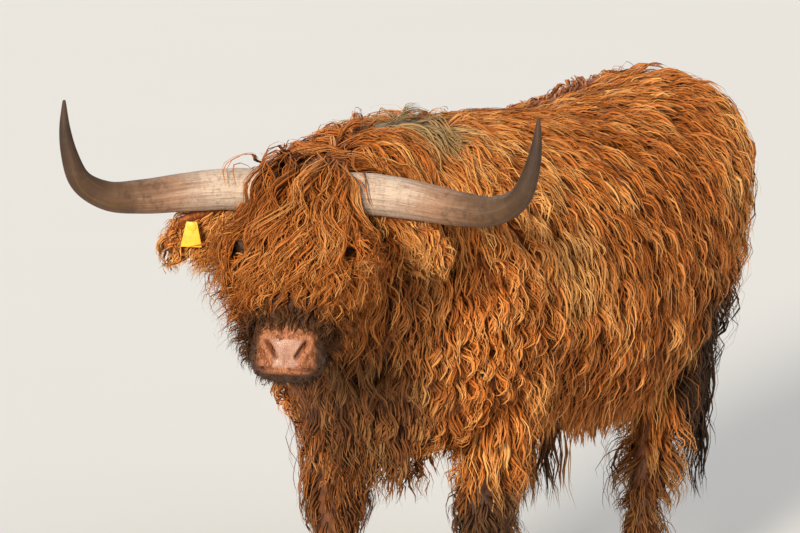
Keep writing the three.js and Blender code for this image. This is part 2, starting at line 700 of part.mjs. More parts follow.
for (const [side, mirror] of [["left", 1], ["right", -1]]) {
  const shell = ear(mirror, 0);
  const cup = ear(mirror, 1);
  const hair = earLocks(16 + mirror);
  node(`ear_${side}`, colours.coat, (grow) => {
    return coated(shell, hair, grow, shell.solid(CORE, grow).subtract(cup.solid(0, -grow)));
  });
}
node("neck", colours.coat, (grow) => coated(neck, neckLocks, grow));
node("torso", colours.coat, (grow) => coated(torso, torsoLocks, grow));
for (const [end, build, locks] of [["fore", foreLeg, foreLocks], ["hind", hindLeg, hindLocks]]) {
  for (const [side, mirror] of [["left", 1], ["right", -1]]) {
    const { upper, lower } = build(mirror, STEPS[`${end}_${side}`]);
    node(`${end}_${side}_upper_leg`, colours.coat, (grow) => coated(upper, locks, grow));
    node(`${end}_${side}_lower_leg`, colours.dark_coat, (grow) => coated(lower, lowerLocks, grow));
  }
}
node("tail_dock", colours.coat, (grow) => coated(dock, dockLocks, grow));
node("tail_switch", colours.dark_coat, (grow) => coated(tailSwitch, switchLocks, grow));

const cow = new THREE.Group();
const rooms = [];
for (const { name, material, core } of nodes) {
  let made = core(0);
  if (rooms.length) made = made.subtract(union(rooms));
  rooms.push(core(GAP));
  const mesh = new THREE.Mesh(geometryOf(made), material);
  mesh.name = name;
  cow.add(mesh);
}

// The origin goes under the middle of the model's box.
const box = new THREE.Box3().setFromObject(cow);
cow.position.set(-(box.min.x + box.max.x) / 2, -(box.min.y + box.max.y) / 2, 0);

export default cow;
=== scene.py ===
"""A highland cow, life size: skin, long coat, horns, eyes, hooves and ear tag, and the stage it stands on."""

import math

import bmesh
import bpy
import numpy as np
from mathutils import Matrix, Vector, kdtree
from mathutils.bvhtree import BVHTree


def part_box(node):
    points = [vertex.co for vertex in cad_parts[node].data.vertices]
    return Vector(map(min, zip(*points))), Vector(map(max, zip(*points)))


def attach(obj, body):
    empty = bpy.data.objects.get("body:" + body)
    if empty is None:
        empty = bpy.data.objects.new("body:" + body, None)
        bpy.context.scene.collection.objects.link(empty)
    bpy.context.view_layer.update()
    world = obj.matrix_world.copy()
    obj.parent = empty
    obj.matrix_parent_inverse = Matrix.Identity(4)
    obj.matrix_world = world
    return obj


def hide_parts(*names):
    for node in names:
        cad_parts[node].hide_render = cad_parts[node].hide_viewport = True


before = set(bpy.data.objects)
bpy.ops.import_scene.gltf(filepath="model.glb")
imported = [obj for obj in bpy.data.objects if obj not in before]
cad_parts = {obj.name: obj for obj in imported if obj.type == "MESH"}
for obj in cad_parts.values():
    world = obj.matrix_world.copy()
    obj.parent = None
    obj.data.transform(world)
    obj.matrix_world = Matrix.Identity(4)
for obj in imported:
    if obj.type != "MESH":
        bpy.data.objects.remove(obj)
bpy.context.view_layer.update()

bl_info = {
    "name": "Highland Cow",
    "version": (1, 0, 0),
    "blender": (4, 5, 0),
    "location": "View3D > Sidebar > Highland Cow",
    "description": "Makes a life-size highland cow with its long coat, and a plain stage",
    "category": "Add Mesh",
}

MM = 0.001
X, Y, Z = np.eye(3)
LEFT, RIGHT = 1, -1
SIDES = {"left": LEFT, "right": RIGHT}
FLESH = [
    "head", "nose", "ear_left", "ear_right", "neck", "torso", "tail_dock", "tail_switch",
    "fore_left_upper_leg", "fore_left_lower_leg", "fore_right_upper_leg", "fore_right_lower_leg",
    "hind_left_upper_leg", "hind_left_lower_leg", "hind_right_upper_leg", "hind_right_lower_leg",
]

# ---------------------------------------------------------------- places

# The left eye's middle and the head's own origin, in the body's table, whose origin is between the feet.
EYE_HOME = Vector((0.172, -1.041, 1.0555))
HEAD_HOME = np.array([0.030, -0.977, 1.152])
HEAD_LENGTH = 400
HEAD_DROP = math.radians(41)
HEAD_AXES = np.array(
    Matrix.Rotation(math.radians(23), 3, "Z")
    @ Matrix.Rotation(math.radians(1.5), 3, "Y")
    @ Matrix.Rotation(HEAD_DROP, 3, "X")
)


def box_middle(node):
    low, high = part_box(node)
    return (low + high) / 2


SHIFT = np.array(box_middle("eye_left") - EYE_HOME)
SHIFT[2] = 0


def from_body(points):
    """Points of the body's own table, in metres, in the frame."""
    return np.asarray(points) + SHIFT


def from_head(points):
    """Points of the level head, in metres, in the frame."""
    return np.asarray(points) @ HEAD_AXES.T + HEAD_HOME + SHIFT


def to_head(points):
    return (np.asarray(points) - HEAD_HOME - SHIFT) @ HEAD_AXES


def nose(share):
    """How far towards the nose a share of the head's length lies, in the head's millimetres."""
    return -share * HEAD_LENGTH


def upright(out, forward, up):
    """A place given upright, as the standing animal has it, on the level head."""
    c, s = math.cos(HEAD_DROP), math.sin(HEAD_DROP)
    return [out, -forward * c + up * s, forward * s + up * c]


# ---------------------------------------------------------------- numbers


def unit(v):
    return v / np.maximum(np.linalg.norm(v, axis=-1, keepdims=True), 1e-9)


def dot(a, b):
    return (a * b).sum(axis=-1, keepdims=True)


def ease(x, low, high):
    """0 below low, 1 above high, and smooth between them."""
    t = np.clip((x - low) / (high - low), 0, 1)
    return t * t * (3 - 2 * t)


def table(x, *pairs):
    return np.interp(x, [p[0] for p in pairs], [p[1] for p in pairs])


def blob(points, centre, radii):
    """1 at the middle of an ellipsoid, falling to 0 at its edge."""
    far = np.linalg.norm((points - np.asarray(centre)) / np.asarray(radii), axis=1)
    return 1 - ease(far, 0.45, 1.0)


def circle(sides):
    """Cosines and sines of equal turns."""
    turn = np.linspace(0, 2 * math.pi, sides, endpoint=False)
    return np.cos(turn), np.sin(turn)


def bent(values, power):
    return np.sign(values) * np.abs(values) ** power


# ---------------------------------------------------------------- forms


class Form:
    """A smooth tube over key sections in millimetres: the path's point, then the skin's reach to the side,
    up and down from it."""

    def __init__(self, keys, along=None, upward=Z, square=2.2, domes=(0.25, 0.25), head=False, rings=30):
        rows = np.array(keys, float) * MM
        knots = np.r_[0, np.cumsum(np.linalg.norm(np.diff(rows[:, :3], axis=0), axis=1))]
        self.length = knots[-1]
        knots = knots / knots[-1]
        slopes = np.gradient(rows, knots, axis=0)
        self.t = np.linspace(0, 1, rings)
        i = np.clip(np.searchsorted(knots, self.t) - 1, 0, len(knots) - 2)
        h = (knots[i + 1] - knots[i])[:, None]
        x = (self.t[:, None] - knots[i][:, None]) / h
        a = 2 * x**3 - 3 * x**2 + 1
        b = x**3 - 2 * x**2 + x
        c = 3 * x**2 - 2 * x**3
        d = x**3 - x**2
        rows = a * rows[i] + b * h * slopes[i] + c * rows[i + 1] + d * h * slopes[i + 1]
        self.reach = np.maximum(rows[:, 3:6], 0.002)
        path = rows[:, :3]
        ahead = np.gradient(path, axis=0) if along is None else np.tile(along, (rings, 1))
        self.along = unit(ahead)
        self.side = unit(np.cross(self.along, np.asarray(upward)))
        self.up = np.cross(self.side, self.along)
        self.centre = from_head(path) if head else from_body(path)
        if head:
            self.along, self.side, self.up = (v @ HEAD_AXES.T for v in (self.along, self.side, self.up))
        self.square = square
        self.domes = domes

    def rings(self, sides):
        """Rings of points on the skin, with two smaller ones that dome each end."""
        across, rise = (bent(values, 2 / self.square) for values in circle(sides))

        def ring(i, scale, push):
            side, up, down = self.reach[i] * scale
            high = np.where(rise > 0, up, down)
            middle = self.centre[i] + self.along[i] * push * self.reach[i, 0]
            return middle + np.outer(across * side, self.side[i]) + np.outer(rise * high, self.up[i])

        start = [ring(0, 0.35, -self.domes[0]), ring(0, 0.78, -0.7 * self.domes[0])]
        end = [ring(-1, 0.78, 0.7 * self.domes[1]), ring(-1, 0.35, self.domes[1])]
        return start + [ring(i, 1, 0) for i in range(len(self.t))] + end

    def locate(self, points):
        """How far along each point lies, from 0 to 1, how far round from the top, from 0 to pi, on which
        side, and how far it is off the skin."""
        off = points[:, None, :] - self.centre[None]
        axial = (off * self.along[None]).sum(axis=2)
        far = np.linalg.norm(off, axis=2)
        best = (np.abs(axial) + 0.12 * far).argmin(axis=1)
        pick = np.arange(len(points)), best
        off, axial = off[pick], axial[pick]
        x = (off * self.side[best]).sum(axis=1)
        z = (off * self.up[best]).sum(axis=1)
        side, up, down = self.reach[best].T
        high = np.where(z > 0, up, down)
        relative = (np.abs(x / side) ** self.square + np.abs(z / high) ** self.square) ** (1 / self.square)
        miss = np.abs(relative - 1) * np.minimum(side, high) + np.maximum(np.abs(axial) - 0.02, 0)
        return self.t[best], np.arctan2(np.abs(x), z), x, miss


HIP = 1178
DEEP = 330
BROAD = 325
TORSO_KEYS = [
    (-745, 350, 0.34, 0.40, 0.42), (-690, 344, 0.60, 0.68, 0.74), (-600, 330, 0.83, 0.95, 0.90),
    (-470, 320, 0.90, 1.08, 0.76), (-300, 318, 0.90, 1.06, 0.76), (-90, 326, 0.96, 1.04, 0.90),
    (130, 328, 1.00, 0.97, 1.00), (320, 310, 0.97, 0.91, 1.10), (480, 272, 0.92, 0.82, 1.08),
    (620, 230, 0.84, 0.73, 0.88), (740, 196, 0.68, 0.61, 0.66), (810, 196, 0.46, 0.44, 0.44),
    (835, 196, 0.20, 0.18, 0.20),
]
NECK_KEYS = [
    (0, -420, 920, 190, 300, 290), (2, -570, 945, 186, 300, 275), (6, -710, 990, 168, 258, 235),
    (18, -820, 1035, 146, 215, 190), (40, -910, 1075, 125, 145, 150),
]
SKULL_KEYS = [
    (-0.17, -70, 66, 74, 60), (-0.06, -66, 108, 114, 105), (0.12, -66, 122, 122, 122),
    (0.36, -60, 116, 110, 122), (0.55, -56, 92, 90, 106), (0.74, -50, 72, 68, 76),
    (0.88, -54, 73, 58, 60), (0.96, -60, 74, 44, 50), (1.02, -66, 60, 24, 34),
]
FORE_KEYS = [  # out, back, how far the step moves it, height, broad, behind, ahead
    (170, -480, 0, 800, 90, 120, 110), (188, -455, 0, 700, 82, 104, 96), (182, -440, 0.3, 590, 60, 78, 68),
    (168, -445, 0.6, 480, 47, 58, 54), (160, -455, 0.9, 385, 46, 48, 52), (158, -455, 0.95, 325, 37, 40, 42),
    (158, -452, 1, 250, 27, 33, 31), (158, -454, 1, 160, 34, 42, 36), (158, -466, 1, 110, 33, 36, 38),
    (158, -476, 1, 70, 44, 46, 54),
]
HIND_KEYS = [
    (150, 520, 0, 980, 120, 190, 190), (172, 500, 0.1, 860, 118, 190, 175), (182, 500, 0.3, 720, 98, 140, 128),
    (176, 555, 0.6, 590, 64, 92, 82), (168, 605, 0.85, 490, 42, 60, 54), (166, 622, 0.95, 440, 42, 52, 50),
    (163, 612, 1, 370, 35, 42, 42), (160, 590, 1, 270, 28, 34, 34), (160, 568, 1, 160, 35, 42, 37),
    (160, 552, 1, 110, 33, 37, 38), (160, 540, 1, 70, 43, 46, 52),
]
STEPS = {"fore_left": 15, "fore_right": -55, "hind_left": -220, "hind_right": -320}
TAIL_KEYS = [
    (0, 785, 1085, 38, 38, 38), (6, 850, 1060, 34, 34, 34), (18, 890, 950, 28, 28, 28),
    (30, 898, 800, 22, 22, 22), (40, 896, 650, 19, 19, 19), (48, 892, 520, 16, 16, 16),
    (54, 888, 400, 11, 11, 11), (57, 885, 330, 6, 6, 6),
]
EAR_KEYS = [
    (108, -34, -62, 26, 22), (140, -34, -72, 42, 26), (190, -32, -88, 54, 24), (240, -28, -106, 46, 18),
    (282, -22, -122, 20, 10),
]
HORN_KEYS = [
    (70, -4, 2, 1.0), (95, -4, 2, 1.0), (160, 2, 0, 1.0), (240, 18, -7, 0.93), (320, 48, -14, 0.83),
    (390, 78, -10, 0.7), (438, 98, 20, 0.56), (460, 108, 74, 0.41), (470, 112, 130, 0.26),
    (472, 110, 180, 0.09),
]
HORN_ROOT = 42


def leg_form(mirror, keys, step):
    rows = [(mirror * out, back + step * moved, high, *rest) for out, back, moved, high, *rest in keys]
    return Form(rows, along=-Z, upward=Y, square=2, domes=(0.3, 0.02), rings=34)


def ear_form(mirror):
    rows = [(*upright(mirror * out, ahead, up), thin, wide, wide) for out, ahead, up, wide, thin in EAR_KEYS]
    return Form(rows, upward=upright(0, 0.25, 1), domes=(0.2, 0.6), head=True, rings=14)


def horn_form(mirror, root):
    rows = [(*upright(mirror * out, ahead, up), *[root * taper] * 3) for out, ahead, up, taper in HORN_KEYS]
    return Form(rows, upward=Y, square=2, domes=(0.1, 1.2), head=True, rings=44)


def body_forms():
    """The forms of flesh, by name."""
    torso = [(0, y, HIP - drop, w * BROAD, u * DEEP, d * DEEP) for y, drop, w, u, d in TORSO_KEYS]
    skull = [(0, nose(share), *rest) for share, *rest in SKULL_KEYS]
    forms = {
        "torso": Form(torso, along=Y, square=2.35, rings=44),
        "neck": Form(NECK_KEYS, square=2.1, domes=(0.1, 0.4), rings=20),
        "skull": Form(skull, along=-Y, square=2.4, domes=(0.3, 0.16), head=True, rings=34),
        "tail": Form(TAIL_KEYS, upward=Y, square=2, rings=34),
    }
    for side, mirror in SIDES.items():
        forms[f"ear_{side}"] = ear_form(mirror)
        forms[f"fore_{side}"] = leg_form(mirror, FORE_KEYS, STEPS[f"fore_{side}"])
        forms[f"hind_{side}"] = leg_form(mirror, HIND_KEYS, STEPS[f"hind_{side}"])
    return forms


FORMS = body_forms()
FORM_NAMES = list(FORMS)


def nearest_form(points):
    """For each point the number of its form, and what Form.locate says there."""
    found = [form.locate(points) for form in FORMS.values()]
    miss = np.array([f[3] for f in found])
    which = miss.argmin(axis=0)
    pick = which, np.arange(len(points))
    return which, np.array([f[0] for f in found])[pick], np.array([f[1] for f in found])[pick]


class Places:
    """Some places of the skin: where they lie on the body and on the level head, which form is nearest, how
    far along it and round from its top they are, and how far down the face, as a share of the head's length."""

    def __init__(self, points):
        self.body = points - SHIFT
        self.high = self.body[:, 2]
        self.head = to_head(points)
        self.share = -self.head[:, 1] / (HEAD_LENGTH * MM)
        self.form, self.along, self.turn = nearest_form(points)

    def on(self, *names):
        """Which places are nearest to one of the named forms."""
        return np.isin(self.form, [FORM_NAMES.index(name) for name in names])

    def from_eye(self, mirror):
        return np.linalg.norm(self.head - mirrored(EYE_AT, mirror), axis=1)


# ---------------------------------------------------------------- modelling by hand


def deselect():
    if bpy.context.mode != "OBJECT":
        bpy.ops.object.mode_set(mode="OBJECT")
    bpy.ops.object.select_all(action="DESELECT")


def activate(obj):
    deselect()
    obj.select_set(True)
    bpy.context.view_layer.objects.active = obj
    return obj


def tube(name, rings):
    """A closed tube: a filled circle, extruded from ring to ring."""
    deselect()
    bpy.ops.mesh.primitive_circle_add(vertices=len(rings[0]), fill_type="NGON")
    obj = bpy.context.object
    obj.name = name
    bpy.ops.object.mode_set(mode="EDIT")
    bpy.ops.mesh.select_all(action="SELECT")
    mesh = bmesh.from_edit_mesh(obj.data)
    mesh.verts.ensure_lookup_table()
    for vert, place in zip(mesh.verts, rings[0]):
        vert.co = place
    last = {tuple(vert.co): k for k, vert in enumerate(mesh.verts)}
    for ring in rings[1:]:
        bpy.ops.mesh.extrude_region()
        mesh = bmesh.from_edit_mesh(obj.data)
        now = {}
        for vert in [v for v in mesh.verts if v.select]:
            k = last[tuple(vert.co)]
            vert.co = ring[k]
            now[tuple(vert.co)] = k
        last = now
    bpy.ops.mesh.select_all(action="SELECT")
    bpy.ops.mesh.normals_make_consistent(inside=False)
    bpy.ops.object.mode_set(mode="OBJECT")
    return obj


def joined(name, objects):
    deselect()
    for obj in objects:
        obj.select_set(True)
    bpy.context.view_layer.objects.active = objects[0]
    bpy.ops.object.join()
    obj = bpy.context.object
    obj.name = name
    obj.data.name = name
    return obj


def apply_modifier(obj, kind, **settings):
    activate(obj)
    modifier = obj.modifiers.new(kind.title(), kind)
    for key, value in settings.items():
        setattr(modifier, key, value)
    bpy.ops.object.modifier_apply(modifier=modifier.name)


def settle(obj):
    """Puts the object's place into its mesh."""
    activate(obj)
    bpy.ops.object.transform_apply(location=True, rotation=True, scale=True)


def smooth(obj):
    for polygon in obj.data.polygons:
        polygon.use_smooth = True


def places(mesh):
    flat = np.empty(len(mesh.vertices) * 3)
    mesh.vertices.foreach_get("co", flat)
    return flat.reshape(-1, 3)


def put(mesh, points):
    mesh.vertices.foreach_set("co", np.asarray(points, np.float32).ravel())
    mesh.update()


def store(mesh, name, values):
    """Keeps up to four numbers for each vertex of a mesh, as a colour that materials can read."""
    rows = np.ones((len(mesh.vertices), 4), np.float32)
    rows[:, : values.shape[1]] = values
    layer = mesh.attributes.get(name) or mesh.attributes.new(name, "FLOAT_COLOR", "POINT")
    layer.data.foreach_set("color", rows.ravel())


def finish_piece(obj, nodes, material):
    obj.data.materials.clear()
    obj.data.materials.append(material)
    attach(obj, "root")
    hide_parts(*nodes)


# ---------------------------------------------------------------- materials


class Value:
    """A number in a material, on which plain sums add the material's Math nodes."""

    def __init__(self, paint, socket):
        self.paint = paint
        self.socket = socket

    def math(self, operation, *terms):
        return self.paint.node("ShaderNodeMath", {"operation": operation}, *terms)

    def __add__(self, other):
        return self.math("ADD", self, other)

    def __sub__(self, other):
        return self.math("SUBTRACT", self, other)

    def __rsub__(self, other):
        return self.math("SUBTRACT", other, self)

    def __mul__(self, other):
        return self.math("MULTIPLY", self, other)

    __radd__ = __add__
    __rmul__ = __mul__

    def clamp(self):
        return self.math("MINIMUM", self.math("MAXIMUM", self, 0.0), 1.0)

    def ease(self, low, high):
        return self.paint.node(
            "ShaderNodeMapRange", {"interpolation_type": "SMOOTHSTEP"}, self, low, high, 0.0, 1.0
        )


class Paint:
    """A material that is built from Python expressions."""

    def __init__(self, name):
        self.material = bpy.data.materials.new(name)
        self.material.use_nodes = True
        self.tree = self.material.node_tree
        self.shader = self.tree.nodes["Principled BSDF"]
        self.object = self.node("ShaderNodeTexCoord", {}, out="Object")

    def node(self, kind, settings, *terms, out=None, **named):
        made = self.tree.nodes.new(kind)
        for key, value in settings.items():
            if key == "stops":
                ramp = made.color_ramp
                while len(ramp.elements) < len(value):
                    ramp.elements.new(0.5)
                for element, (place, colour) in zip(ramp.elements, value):
                    element.position = place
                    element.color = (*colour, 1)
            else:
                setattr(made, key, value)
        for key, term in [*enumerate(terms), *named.items()]:
            socket = made.inputs[key]
            if isinstance(term, Value):
                self.tree.links.new(term.socket, socket)
            elif socket.type == "RGBA" and len(term) == 3:
                socket.default_value = (*term, 1)
            else:
                socket.default_value = term
        outputs = [s for s in made.outputs if s.enabled]
        return Value(self, made.outputs[out] if out else outputs[0])

    def mix(self, factor, low, high):
        made = self.tree.nodes.new("ShaderNodeMix")
        made.data_type = "RGBA"
        for index, term in ((0, factor), (6, low), (7, high)):
            if isinstance(term, Value):
                self.tree.links.new(term.socket, made.inputs[index])
            else:
                made.inputs[index].default_value = (*term, 1) if index else term
        return Value(self, made.outputs[2])

    def noise(self, scale, detail=3.0, rough=0.55, vector=None):
        return self.node(
            "ShaderNodeTexNoise", {}, Vector=vector or self.object, Scale=scale, Detail=detail, Roughness=rough
        )

    def stored(self, name):
        """The numbers that a mesh keeps under a name."""
        made = self.node("ShaderNodeAttribute", {"attribute_name": name}, out="Color")
        split = self.tree.nodes.new("ShaderNodeSeparateColor")
        self.tree.links.new(made.socket, split.inputs[0])
        return [Value(self, s) for s in split.outputs]

    def stretched(self, scale):
        return self.node("ShaderNodeMapping", {}, Vector=self.object, Scale=scale)

    def bump(self, height, distance, strength=1.0):
        return self.node("ShaderNodeBump", {}, Height=height, Distance=distance, Strength=strength)

    def finish(self, colour, roughness, normal=None, **constants):
        links = {"Base Color": colour, "Roughness": roughness, "Normal": normal}
        for key, term in links.items():
            if isinstance(term, Value):
                self.tree.links.new(term.socket, self.shader.inputs[key])
            elif term is not None:
                self.shader.inputs[key].default_value = (*term, 1) if key == "Base Color" else term
        for key, value in constants.items():
            self.shader.inputs[key.replace("_", " ")].default_value = value
        return self.material


# ---------------------------------------------------------------- settings


def colour_property(name, description, default):
    return bpy.props.FloatVectorProperty(
        name=name, description=description, default=default, subtype="COLOR", size=3, min=0, max=1
    )


def length_property(name, description, default):
    return bpy.props.FloatProperty(name=name, description=description, default=default, unit="LENGTH")


class CowCoat(bpy.types.PropertyGroup):
    """The coat's fullness and colours."""

    density: bpy.props.FloatProperty(
        name="Density", description="Share of the usual number of tufts", default=1.0, min=0.05, max=1.5
    )
    length: bpy.props.FloatProperty(
        name="Length", description="Length of the hair, against the usual", default=1.0, min=0.3, max=1.5
    )
    seed: bpy.props.IntProperty(name="Seed", description="Start of the random numbers", default=7)
    # The root colour also paints shade near the skin.
    root: colour_property("Root", "Deep red-brown of the hair near the skin", (0.085, 0.022, 0.006))
    warm: colour_property("Warm", "Orange-brown of most hair", (0.54, 0.148, 0.023))
    gold: colour_property("Gold", "Golden hair that the sun has bleached", (0.84, 0.42, 0.130))
    # The dark colour also paints shade on the chest, beside the head, on the far foreleg and round the eyes.
    dark: colour_property("Dark", "Wet and muddy hair, nearly black", (0.032, 0.0195, 0.013))
    dust: colour_property("Dust", "Grey-green dust on the withers", (0.29, 0.27, 0.14))


class CowHide(bpy.types.PropertyGroup):
    """The skin."""

    detail: length_property("Detail", "Size of the skin's smallest forms", 0.007)
    nose: colour_property("Nose", "Bare skin of the nose", (0.46, 0.26, 0.175))
    nose_deep: colour_property("Nose folds", "Darker skin in the folds of the nose", (0.32, 0.13, 0.085))


class CowHorns(bpy.types.PropertyGroup):
    """The horns."""

    root: length_property("Root radius", "Radius of the horn where it leaves the head", HORN_ROOT * MM)
    cream: colour_property("Cream", "Pale horn near the root", (0.62, 0.47, 0.36))
    rose: colour_property("Rose", "Pinkish horn along the middle", (0.33, 0.18, 0.11))
    brown: colour_property("Brown", "Brown horn towards the tip", (0.12, 0.058, 0.022))


class CowEyes(bpy.types.PropertyGroup):
    """The eyes."""

    radius: length_property("Radius", "Radius of the eyeball", 0.0198)
    iris: colour_property("Iris", "Brown of the iris", (0.045, 0.018, 0.008))


class CowHooves(bpy.types.PropertyGroup):
    """The claws and dewclaws."""

    horn: colour_property("Horn", "Dark horn of the claws", (0.030, 0.023, 0.018))
    mud: colour_property("Mud", "Dry mud on the claws", (0.13, 0.10, 0.07))


class CowTag(bpy.types.PropertyGroup):
    """The ear tag."""

    wide: length_property("Width", "Width of the tag", 0.044)
    tall: length_property("Height", "Height of the tag", 0.052)
    thick: length_property("Thickness", "Thickness of the tag", 0.003)
    colour: colour_property("Colour", "Plain plastic of the tag", (0.95, 0.46, 0.012))


class CowStage(bpy.types.PropertyGroup):
    """The floor, the lights and the camera."""

    floor: colour_property("Floor", "Pale floor", (0.73, 0.72, 0.70))
    distance: length_property("Camera distance", "From the camera to the body's own origin, along its view", 10.5)
    turn: bpy.props.FloatProperty(
        name="Camera turn", description="Round from the animal's front", default=math.radians(28),
        unit="ROTATION",
    )
    rise: bpy.props.FloatProperty(
        name="Camera rise", description="Above the level", default=math.radians(10), unit="ROTATION"
    )


GROUPS = {
    "cow_coat": CowCoat, "cow_hide": CowHide, "cow_horns": CowHorns, "cow_eyes": CowEyes,
    "cow_hooves": CowHooves, "cow_tag": CowTag, "cow_stage": CowStage,
}

# ---------------------------------------------------------------- eyes and lids

# The eye's middle and the way it looks, on the level head. The radius of the closed lids, and how far their
# opening reaches to the sides, up and down.
EYE_AT = (108 * MM, nose(0.37) * MM, 4 * MM)
GAZE = (0.77, -0.49, 0.41)
LID_RADIUS = 0.0232
OPEN_WIDE, OPEN_UP, OPEN_DOWN = 0.0185, 0.0105, 0.0085


def mirrored(place, mirror):
    return np.array([mirror * place[0], place[1], place[2]])


def eye_frame(mirror):
    """The eye's middle, and the ways it looks, across and up."""
    centre = from_head(mirrored(EYE_AT, mirror))
    look = unit(mirrored(GAZE, mirror)) @ HEAD_AXES.T
    across = unit(np.cross(look, HEAD_AXES @ Z))
    return centre, look, across, np.cross(across, look) * np.sign(np.cross(across, look) @ (HEAD_AXES @ Z))


def lid_opening(x, y):
    """0 at the middle of the opening between the lids and 1 at its edge."""
    return np.hypot(x / OPEN_WIDE, np.where(y > 0, y / OPEN_UP, y / OPEN_DOWN))


def shape_lids(points, mirror):
    """Moves skin to lids that close round the eyeball, and carves the opening between them."""
    centre, look, across, up = eye_frame(mirror)
    off = points - centre
    x, y, z = off @ across, off @ up, off @ look
    r = np.hypot(x, y)
    near = (r < 0.052) & (z > -0.045)
    target = np.sqrt(np.maximum(LID_RADIUS**2 - r**2, 0) + 0.003**2)
    weight = 1 - ease(r, 0.021, 0.046)
    deep = z * (1 - weight) + target * weight
    fold = np.exp(-(((np.hypot(x / 0.027, (y - 0.001) / 0.0185) - 1) / 0.10) ** 2))
    deep = deep - 0.0035 * fold * (y > 0)
    deep = deep - 0.030 * (1 - ease(lid_opening(x, y), 0.90, 1.06))
    moved = points + np.outer(deep - z, look)
    return np.where(near[:, None], moved, points)


# ---------------------------------------------------------------- skin

# Lines on the level head: millimetres out, the share of the head's length in front, and millimetres up.
NOSTRIL = [(20, 0.992, -30), (29, 0.962, -20), (40, 0.930, -13)]
MOUTH = [
    (-79, 0.78, -90), (-77, 0.90, -76), (-62, 0.99, -61), (-32, 1.04, -48), (0, 1.05, -44),
    (32, 1.04, -48), (62, 0.99, -61), (77, 0.90, -76), (79, 0.78, -90),
]
SKIN_TRIANGLES = 150000


def head_line(rows, mirror=1):
    return np.array([(mirror * x, nose(share), z) for x, share, z in rows]) * MM


def line_distance(points, line):
    """How far each point is from a line of short lengths."""
    best = np.full(len(points), 9.0)
    for a, b in zip(line[:-1], line[1:]):
        ab = b - a
        t = np.clip((points - a) @ ab / (ab @ ab), 0, 1)
        best = np.minimum(best, np.linalg.norm(points - a - t[:, None] * ab, axis=1))
    return best


def shape_muzzle(points, normals):
    """Presses the nostrils, the mouth's line and the groove of the nose into the skin."""
    head = to_head(points)
    press = np.zeros(len(points))
    for mirror in (LEFT, RIGHT):
        far = line_distance(head, head_line(NOSTRIL, mirror))
        press += 0.018 * (1 - ease(far, 0.001, 0.0062))
        press -= 0.0040 * np.exp(-(((far - 0.0125) / 0.005) ** 2)) * ease(mirror * head[:, 0], 0.018, 0.034)
    far = line_distance(head, head_line(MOUTH))
    press += 0.0075 * (1 - ease(far, 0.0005, 0.0055))
    press -= 0.0028 * np.exp(-(((far - 0.011) / 0.006) ** 2))
    groove = np.exp(-((head[:, 0] / 0.0025) ** 2)) * ease(head[:, 2], -0.046, -0.040)
    press += 0.0018 * groove * (1 - ease(head[:, 2], -0.034, -0.018)) * ease(-head[:, 1], 0.38, 0.39)
    zone = ease(-head[:, 1], 0.27, 0.32)
    return points - normals * (press * zone)[:, None]


def vertex_normals(mesh):
    flat = np.empty(len(mesh.vertices) * 3)
    mesh.vertices.foreach_get("normal", flat)
    return flat.reshape(-1, 3)


def shape_ears(points):
    """Sinks the cup into the front of each ear."""
    for mirror in (LEFT, RIGHT):
        form = FORMS["ear_left" if mirror == LEFT else "ear_right"]
        t, _, _, miss = form.locate(points)
        front = unit(np.array(upright(0, 1, 0))) @ HEAD_AXES.T
        axis = form.centre[(t * (len(form.t) - 1)).astype(int)]
        off = points - axis
        ahead = off @ front
        wide = np.linalg.norm(off - np.outer(ahead, front), axis=1)
        inside = (miss < 0.02) & (ahead > 0)
        cup = ease(t, 0.08, 0.35) * (1 - ease(t, 0.75, 0.98)) * (1 - ease(wide, 0.020, 0.040))
        points = points - np.outer(np.where(inside, 0.026 * cup, 0), front)
    return points


# Dark hair and painted shade in ellipsoids of the body, by amount, middle and radii: the tuft under the belly,
# the chest, whose darker hair also carries painted shade under the head, and painted shade on the side of the
# neck.
DARK_AND_SHADED_PLACES = [
    (0.95, (0, 0.02, 0.50), (0.13, 0.16, 0.16)),
    (0.68, (0.0, -0.74, 0.70), (0.26, 0.30, 0.34)),
    (0.45, (0.17, -0.77, 0.90), (0.12, 0.13, 0.18)),
]
# The same for pale hair: behind the shoulder, over the rump and over the withers.
PALE_PLACES = [
    (1.0, (0.26, -0.33, 0.93), (0.14, 0.16, 0.16)),
    (0.8, (0.20, 0.75, 1.00), (0.30, 0.40, 0.26)),
    (0.7, (0.10, -0.45, 1.12), (0.30, 0.36, 0.20)),
]


def patches(body, rows):
    return np.max([amount * blob(body, middle, radii) for amount, middle, radii in rows], axis=0)


